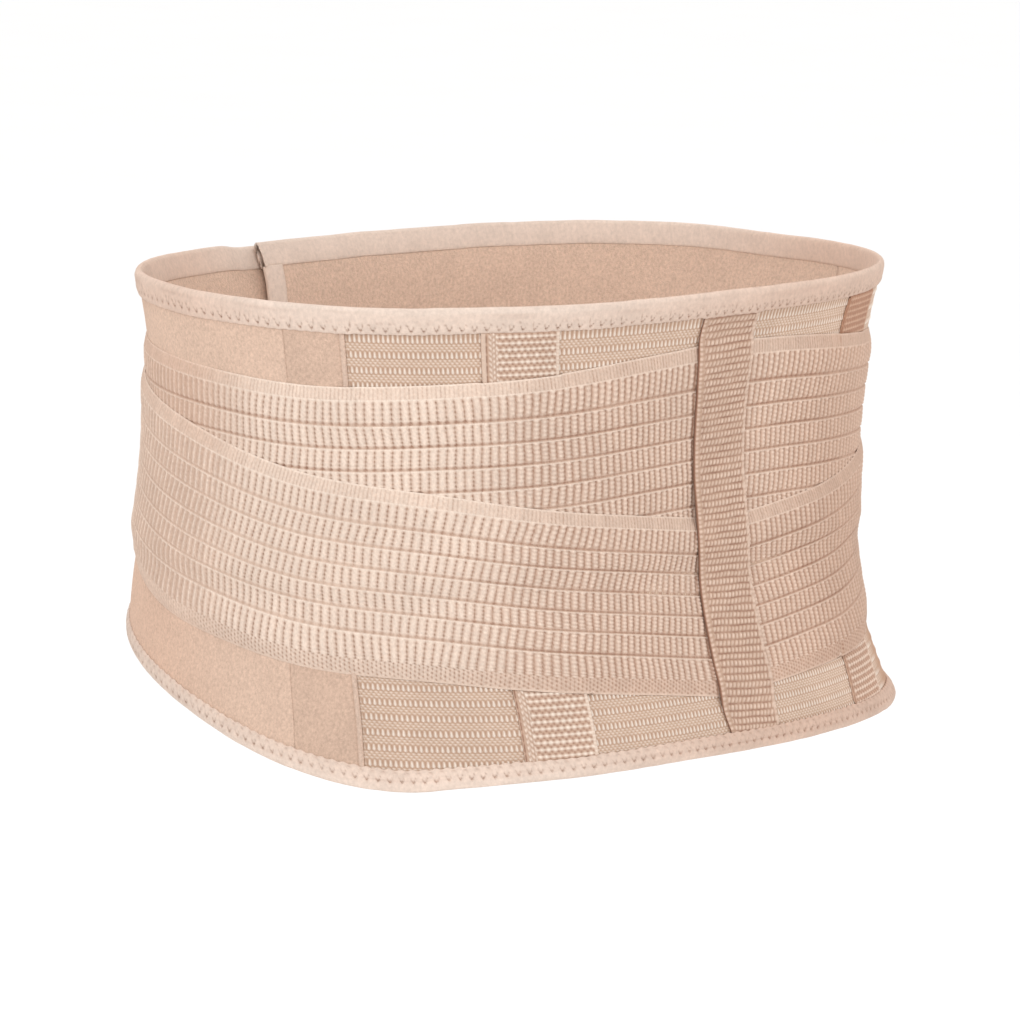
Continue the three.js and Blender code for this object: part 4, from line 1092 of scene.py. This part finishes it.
def build_stay(side):
    sign = 1 if side == "left" else -1
    half = 15.5
    x = np.concatenate([[-half, -half + 0.2, -half + 0.5], np.arange(-half + 0.9, half - 1.3, 0.55), [half - 1.1, half - 0.82, half - 0.58, half - 0.34, half - 0.15, half]])
    dense = 0.5
    low_z = np.arange(0, 36, dense)
    top_z = np.arange(0, 34, dense)
    rows = len(low_z) + len(top_z) + 12
    foot = bottom_crest(sign * stay_line(-90.0) + x) + BOTTOM_WIDTH - 0.6
    head = top_crest(sign * stay_line(90.0) + x) - TOP_WIDTH + 0.6
    z = np.concatenate(
        [foot[:, None] + low_z, (foot + 36)[:, None] + (head - foot - 70)[:, None] * np.linspace(0.0, 1, 12), (head - 34 + 0.5)[:, None] + top_z],
        1,
    )
    wider = tape_wider(z) if sign > 0 else 0 * z
    edge = half + wider
    off = -half + (x[:, None] + half) * (half + edge) / (2 * half)
    seam = edge - 0.6 - 0.6 * wider
    braided = 4.0 if sign > 0 else 0.4
    s = sign * stay_line(z) + off
    row = np.floor(z / 2.7)
    dz = z - (row + 0.5) * 2.7
    drift = 0.28 * noise(71, off / 6, z / 5)
    dx = (((off + drift) / 2.65 - 0.5 * (row % 2) + 0.5) % 1 - 0.5) * 2.65
    body = step(off, -half + 1.5, -half + 2.1) * (1 - step(off, seam - braided - 0.6, seam - braided + 0.2))
    # Rows of bright knots joined by threads, with dark pinholes above and below: the knots and threads carry painted
    # highlight, the pinholes painted shade.
    size = 1 + 0.22 * cell_noise(73, np.round(off / 2.65) + 20, row + 60)
    dots = np.exp(-(dx / 0.70) ** 2 - (dz / (0.62 * size)) ** 2) * size
    thread = np.exp(-(dz / 0.34) ** 2)
    holes = np.exp(-((np.abs(dx) - 1.3) / 0.5) ** 2 - ((np.abs(dz) - 0.85) / 0.42) ** 2)
    # A braided stripe with painted highlight on its strands and painted shade between them, then the dark line of
    # stitches, painted shade in their groove, and a pale edge painted as highlight on one side; a beaded edge with
    # painted highlight on the other.
    braid_zone = step(off, seam - 4.8, seam - 4.0) * (1 - step(off, seam - 0.9, seam - 0.5)) * (sign > 0)
    column = np.floor(off / 1.4)
    bz = ((z / 2.3 + 0.5 * (column % 2) + 0.5) % 1 - 0.5) * 2.3
    bx = (off / 1.4 - column - 0.5) * 1.4
    braid = np.exp(-((bx + 0.35 * bz * np.where(column % 2 > 0, 1, -1)) / 0.42) ** 2 - (bz / 0.8) ** 2)
    groove = np.exp(-np.abs((off - seam) / 0.34) ** 3)
    stitch = 0.50 + 0.50 * step(np.abs((z / 4.2) % 1 - 0.5), 0.10, 0.2)
    lip = step(off, seam + 0.4, seam + 0.6)
    selvedge = 1 - step(off, -half + 1.4, -half + 2.0)
    beads = 0.5 + 0.5 * np.cos(2 * np.pi * z / 1.5)
    rise = body * (0.30 * dots + 0.10 * thread - 0.22 * holes - 0.08) + braid_zone * (0.22 * braid - 0.10)
    rise += -0.65 * groove * stitch + 0.04 * lip + selvedge * (0.08 + 0.08 * beads)
    dark = body * (0.14 + 0.90 * holes - 0.14 * thread) * (1 - dots) + braid_zone * (0.36 - 0.36 * braid) + 0.85 * groove * stitch
    pale = body * np.clip(1.0 * dots + 0.40 * thread, 0, 1) + braid_zone * 0.95 * braid + 0.30 * lip + selvedge * (0.35 + 0.4 * beads)
    pale *= 1 - np.clip(groove, 0, 1)
    base = 0.28
    lift = base + 0.70 + rise
    lift[[1, -2], :] = base + 0.34
    lift[[0, -1], :] = base - 0.32
    lift[:, [1, -2]] = base + 0.5
    lift[:, [0, -1]] = base - 0.2
    tone = 0.955 + 0.03 * step(z, -20, 60) + 0.03 * noise(72, off / 5, z / 6)
    warm = 0 * z
    # On the right, the tape's top is painted darker and warmer as shade, and its knit's painted shade and highlight
    # fade there.
    if sign < 0:
        warm = 0.6 + 1.4 * step(z, 20, 80)
        tone = tone - 0.16 * step(z, 20, 80)
        dark, pale = dark * (1 - 0.3 * step(z, 20, 80)), pale * (1 - 0.3 * step(z, 20, 80))
    piece = shell(f"tape_stay_{side}", s, z, lift, lambda x, y: np.full(np.shape(x), base),
                  {"dark": np.clip(dark, 0, 1), "pale": np.clip(pale, 0, 1), "tone": tone, "warm": warm}, inside=(6, 30))
    finished(piece, f"stay_tape_{side}", stay_cloth)


CENTRE_BED = np.array(
    [(-89.8, 0.25), (-83, 0.3), (-79, 0.5), (-76.5, 0.9), (-74, 1.5), (-70.5, 2.3), (-66, 2.8), (-50, 3.0), (-28, 3.2),
     (-11, 5.0), (3, 5.0), (20, 3.3), (42, 3.0), (60, 3.0), (66, 2.8), (70, 2.35), (74, 1.4), (76.5, 0.8), (79, 0.45),
     (83, 0.3), (88.2, 0.25)]
)
centre_bed = smooth(CENTRE_BED[:, 0], CENTRE_BED[:, 1])
CENTRE_SWAY = smooth([-89, -77, -62, -50, -20, 10, 45, 66, 78, 88], [-5.2, -3.4, -2.4, -2.2, -1.5, 0.2, 0.1, -0.1, -0.9, -1.75])
CENTRE_HALF = smooth([-89, -77, -60, 50, 68, 88], [14.2, 15.3, 15.5, 15.5, 16.4, 16.6])


def build_centre():
    half = 15.5
    x = np.concatenate([[-half, -half + 0.08, -half + 0.3], np.arange(-half + 0.65, half - 0.6, 0.46), [half - 0.3, half - 0.08, half]])
    z1 = np.concatenate([[-89.8, -89.6, -89.2], np.arange(-88.8, 87.4, 0.47), [87.8, 88.2]])
    off, z = np.meshgrid(x, z1, indexing="ij")
    sway = CENTRE_SWAY(z)
    # Low down, where the tape leans, its rows stay level.
    waved = z + 0.26 * noise(82, off / 8, z / 6) + (0.02 - 0.12 * step(-z, -40, 70)) * off
    row = np.floor(waved / 2.88)
    dz = waved - (row + 0.5) * 2.88
    kind = row % 2
    slant = np.where(kind > 0, 0.44, 0.24)
    shifted = off + slant * dz + 0.9 * kind + 0.35 * noise(83, off / 5, row * 1.7)
    dx = ((shifted / 2.2 + 0.5) % 1 - 0.5) * 2.2
    cell = np.floor(shifted / 2.2 + 0.5)
    odd = cell_noise(85, cell + 40, row + 60)
    body = step(off, -half + 1.9, -half + 2.6) * (1 - step(off, half - 2.9, half - 2.2))
    # Rows of short slanted loops painted pale as highlight, with a dark line between rows and dark gaps between loops
    # painted as shade; every second row is a little duller; the beaded edges are painted pale on their beads and dark
    # between them as highlight and shade.
    strong = 1 + 0.28 * odd + 0.2 * noise(86, off / 7, row * 2.3)
    loop = np.exp(-(np.abs(dx) / 0.60) ** 2.4) * np.exp(-(np.abs(dz) / 0.92) ** 4) * strong
    gap = (1 - np.exp(-(np.abs(dx) / 0.75) ** 2.4)) * np.exp(-(np.abs(dz) / 1.0) ** 4)
    line = np.exp(-((1.44 - np.abs(dz)) / np.where(kind > 0, 0.48, 0.40)) ** 2) * (0.85 + 0.3 * noise(87, off / 4, row))
    left_edge = step(off, half - 1.5, half - 1.1)
    right_edge = 1 - step(off, -half + 1.9, -half + 2.5)
    fine = 0.5 + 0.5 * np.cos(2 * np.pi * z / 2.0 + 0.5 * off + 1.5 * noise(88, off / 9, z / 9))
    broad = 0.5 + 0.5 * np.cos(2 * np.pi * z / 6.2)
    rise = body * (np.where(kind > 0, 0.28, 0.36) * loop - 0.16 * gap - 0.36 * line)
    rise += left_edge * (0.02 + 0.14 * fine) + right_edge * (0.0 + 0.12 * broad + 0.08 * fine) - 0.1 * (1 - body) * line
    dark = body * np.clip(np.where(kind > 0, 0.60, 0.74) * gap + 0.84 * line - 0.5 * loop, 0, 1)
    dark += (1 - body) * (0.20 * line + 0.30 * (1 - fine))
    pale = body * np.where(kind > 0, 0.78, 1.0) * loop + left_edge * 0.85 * fine + right_edge * (0.35 + 0.4 * broad + 0.3 * fine)
    pale *= 1 - 0.5 * np.clip(line, 0, 1)
    bed_lift = centre_bed(z)
    to_end = step(np.abs(z + 0.8), 72, 80)
    tucked = step(np.abs(z + 0.8), 86.2, 88.2)
    lift = bed_lift + 1.3 - 0.45 * to_end - 0.25 * tucked + rise * (1 - 0.8 * tucked)
    lift -= 0.30 * (1 - step(half - np.abs(off), 0, 2.4))
    drop = 0.55 - 0.45 * to_end
    for k, down in ((0, 0.0), (1, 0.55), (2, 0.85)):
        for row_k in (k, -1 - k):
            lift[row_k] = bed_lift[row_k] - drop[row_k] * (1 - down) + down * (lift[row_k] - bed_lift[row_k])
    # Painted shadow along the tape's edges, darkest on the edge towards the wearer's left, where the tape stands off
    # the band.
    dark[0], dark[[-1, -2]] = 0.5, 0.9
    pale[[-1, -2]] = 0
    lift[:, [0, -1]] = bed_lift[:, [0, -1]] + 0.1
    tone = 0.955 + 0.03 * noise(84, off / 6, z / 8)
    piece = shell("tape_centre", off * CENTRE_HALF(z) / half + sway, z, lift, lambda a, b: centre_bed(b),
                  {"dark": np.clip(dark, 0, 1), "pale": np.clip(pale, 0, 1), "tone": tone}, inside=(10, 44))
    finished(piece, "centre_tape", centre_cloth)


# ------------------------------------------------------------------ tabs and hook patch on the front

TAB_FROM, TAB_TO, TAB_MIDDLE, TAB_HALF, TAB_CORNER = 358.0, 413.0, 29.5, 48.0, 20.0
TAB_BED = np.array([(358, 6.2), (376, 6.2), (391, 1.6), (413, 1.6)])


def build_tab(side):
    sign = 1 if side == "left" else -1
    m1 = np.concatenate([[358, 358.1, 358.5], np.linspace(359, 410, 44), [411, 411.8, 412.4, 412.75, 412.9, 413.0]])
    w1 = np.concatenate([[-1, -0.997, -0.99], np.linspace(-0.98, 0.98, 66), [0.99, 0.997, 1]])
    m, w = np.meshgrid(m1, w1, indexing="ij")
    into = np.maximum(m - (TAB_TO - TAB_CORNER), 0)
    tall = TAB_HALF - TAB_CORNER + np.sqrt(np.maximum(TAB_CORNER**2 - into**2, 0.0))
    z = TAB_MIDDLE + tall * w
    base = np.interp(m, TAB_BED[:, 0], TAB_BED[:, 1])
    base = np.where(m > 376, 1.6 + 4.6 * (1 - step(m, 376, 391)), 6.2)
    inset = np.minimum(np.minimum(m - TAB_FROM, TAB_TO - m), tall * (1 - np.abs(w)))
    along = m * 0.7 + z * 0.7
    seam = np.exp(-((inset - 3.2) / 0.45) ** 2)
    stitch = 0.4 + 0.6 * step(np.abs((along / 3.0) % 1 - 0.5), 0.1, 0.2)
    lift = base + 1.5 - 0.5 * seam * stitch + 0.1 * noise(91, m / 8, z / 9)
    lift = np.where(inset < 0.9, base + 0.15 + 1.35 * np.sqrt(np.clip(1 - (1 - inset / 0.9) ** 2, 0, 1)), lift)
    # Painted shade in the stitch dents of the seam, and painted highlight along the rounded edge.
    dark = 0.7 * seam * stitch
    pale = 0.4 * np.exp(-(inset / 0.9) ** 2)
    s = m * sign
    if sign < 0:
        s, z, lift, dark, pale = (x[::-1] for x in (s, z, lift, dark, pale))
    piece = shell(f"end_tab_{side}", s, z, lift,
                  lambda a, b: np.where(np.abs(a) > 376, 1.6 + 4.6 * (1 - step(np.abs(a), 376, 391)), 6.2) + 0.05,
                  {"dark": np.clip(dark, 0, 1), "pale": pale}, inside=(14, 22))
    finished(piece, f"band_tab_{side}", tab_cloth)


def build_patch():
    start, end = 2 * HALF_GIRTH - PANEL_END + TOP_WIDTH + 1, PANEL_END - TOP_WIDTH - 1
    s1 = np.concatenate([[start, start + 0.1], np.linspace(start + 0.5, end - 0.5, 40), [end - 0.1, end]])
    w1 = np.concatenate([[0, 0.001], np.linspace(0.006, 0.994, 80), [0.999, 1]])
    s, w = np.meshgrid(s1, w1, indexing="ij")
    z = bottom_crest(s) + 15 + w * (top_crest(s) - bottom_crest(s) - 30)
    lift = 3.0 + 0.12 * np.sin(s * 2 * np.pi / 2.6) * np.sin(z * 2 * np.pi / 3.2)
    lift[[0, -1], :] = 1.75
    lift[:, [0, -1]] = 1.75
    piece = shell("front_patch", s, z, lift, lambda a, b: np.full(np.shape(a), 1.7), {}, inside=(12, 24))
    finished(piece, "front_hook_patch", hook_cloth)


build_net()
for side in ("left", "right"):
    build_strip(side)
    build_wing(side)
    build_end_edging(side)
    build_stay(side)
    build_band(side, "upper")
    build_band(side, "lower")
    build_tab(side)
build_edging("top")
build_edging("bottom")
build_centre()
build_patch()

# ------------------------------------------------------------------ floor, light and camera

scene = bpy.context.scene

floor_mesh = bpy.data.meshes.new("floor")
FLOOR = -0.42
floor_mesh.from_pydata([(-40, -40, FLOOR), (40, -40, FLOOR), (40, 40, FLOOR), (-40, 40, FLOOR)], [], [(0, 1, 2, 3)])
floor = bpy.data.objects.new("floor", floor_mesh)
scene.collection.objects.link(floor)
paper = Graph("floor_paper")
_coord = paper.add("ShaderNodeTexCoord")
_grain = paper.add("ShaderNodeTexNoise", Scale=6.0, Detail=3.0)
_ramp = paper.add("ShaderNodeValToRGB")
_ramp.color_ramp.elements[0].color = (0.945, 0.945, 0.945, 1)
_ramp.color_ramp.elements[1].color = (0.965, 0.965, 0.965, 1)
_shader = paper.add("ShaderNodeBsdfPrincipled", Roughness=0.9)
_shader.inputs["Specular IOR Level"].default_value = 0.1
_out = paper.add("ShaderNodeOutputMaterial")
paper.link(_coord.outputs["Object"], _grain.inputs["Vector"])
paper.link(_grain.outputs["Fac"], _ramp.inputs["Fac"])
paper.link(_ramp.outputs["Color"], _shader.inputs["Base Color"])
paper.link(_shader.outputs[0], _out.inputs[0])
floor_mesh.materials.append(paper.material)

world = bpy.data.worlds.new("studio")
scene.world = world
world.use_nodes = True
background = world.node_tree.nodes["Background"]
background.inputs["Color"].default_value = (1.0, 0.995, 0.99, 1)
background.inputs["Strength"].default_value = 1.05


def area_light(name, azimuth, elevation, distance, size, power, colour=(1, 1, 1)):
    """A soft light aimed at the belt. Azimuth 0 shines from the back."""
    data = bpy.data.lights.new(name, "AREA")
    data.shape = "SQUARE"
    data.size = size
    data.energy = power
    data.color = colour
    lamp = bpy.data.objects.new(name, data)
    scene.collection.objects.link(lamp)
    a, e = math.radians(azimuth), math.radians(elevation)
    way = Vector((math.sin(a) * math.cos(e), -math.cos(a) * math.cos(e), math.sin(e)))
    lamp.location = way * distance
    lamp.rotation_mode = "QUATERNION"
    lamp.rotation_quaternion = (-way).to_track_quat("-Z", "Y")


area_light("key", -48, 40, 2.6, 2.0, 26)

CAMERA_TURN, CAMERA_AWAY, CAMERA_UP, CAMERA_AIM = math.radians(44.6335), 1.95429, 0.32762, -0.01305
FOCAL, ASIDE, ROLL = 4491.81, 2.378, math.radians(0.7419)
spot = Vector((-math.sin(CAMERA_TURN) * CAMERA_AWAY, -math.cos(CAMERA_TURN) * CAMERA_AWAY, CAMERA_UP))
ahead = (Vector((0, 0, CAMERA_AIM)) - spot).normalized()
right = ahead.cross(Vector((0, 0, 1))).normalized()
up = right.cross(ahead)
right, up = right * math.cos(ROLL) + up * math.sin(ROLL), up * math.cos(ROLL) - right * math.sin(ROLL)
ahead = (ahead - right * (ASIDE / FOCAL)).normalized()
right = ahead.cross(up).normalized()
up = right.cross(ahead)
camera_data = bpy.data.cameras.new("camera")
camera_data.sensor_width = 36
camera_data.lens = FOCAL / 1020 * 36
camera_data.clip_start, camera_data.clip_end = 0.05, 200
camera = bpy.data.objects.new("camera", camera_data)
scene.collection.objects.link(camera)
camera.matrix_world = Matrix(
    ((right.x, up.x, -ahead.x, spot.x), (right.y, up.y, -ahead.y, spot.y), (right.z, up.z, -ahead.z, spot.z), (0, 0, 0, 1))
)
scene.camera = camera
scene.view_settings.view_transform = "Standard"
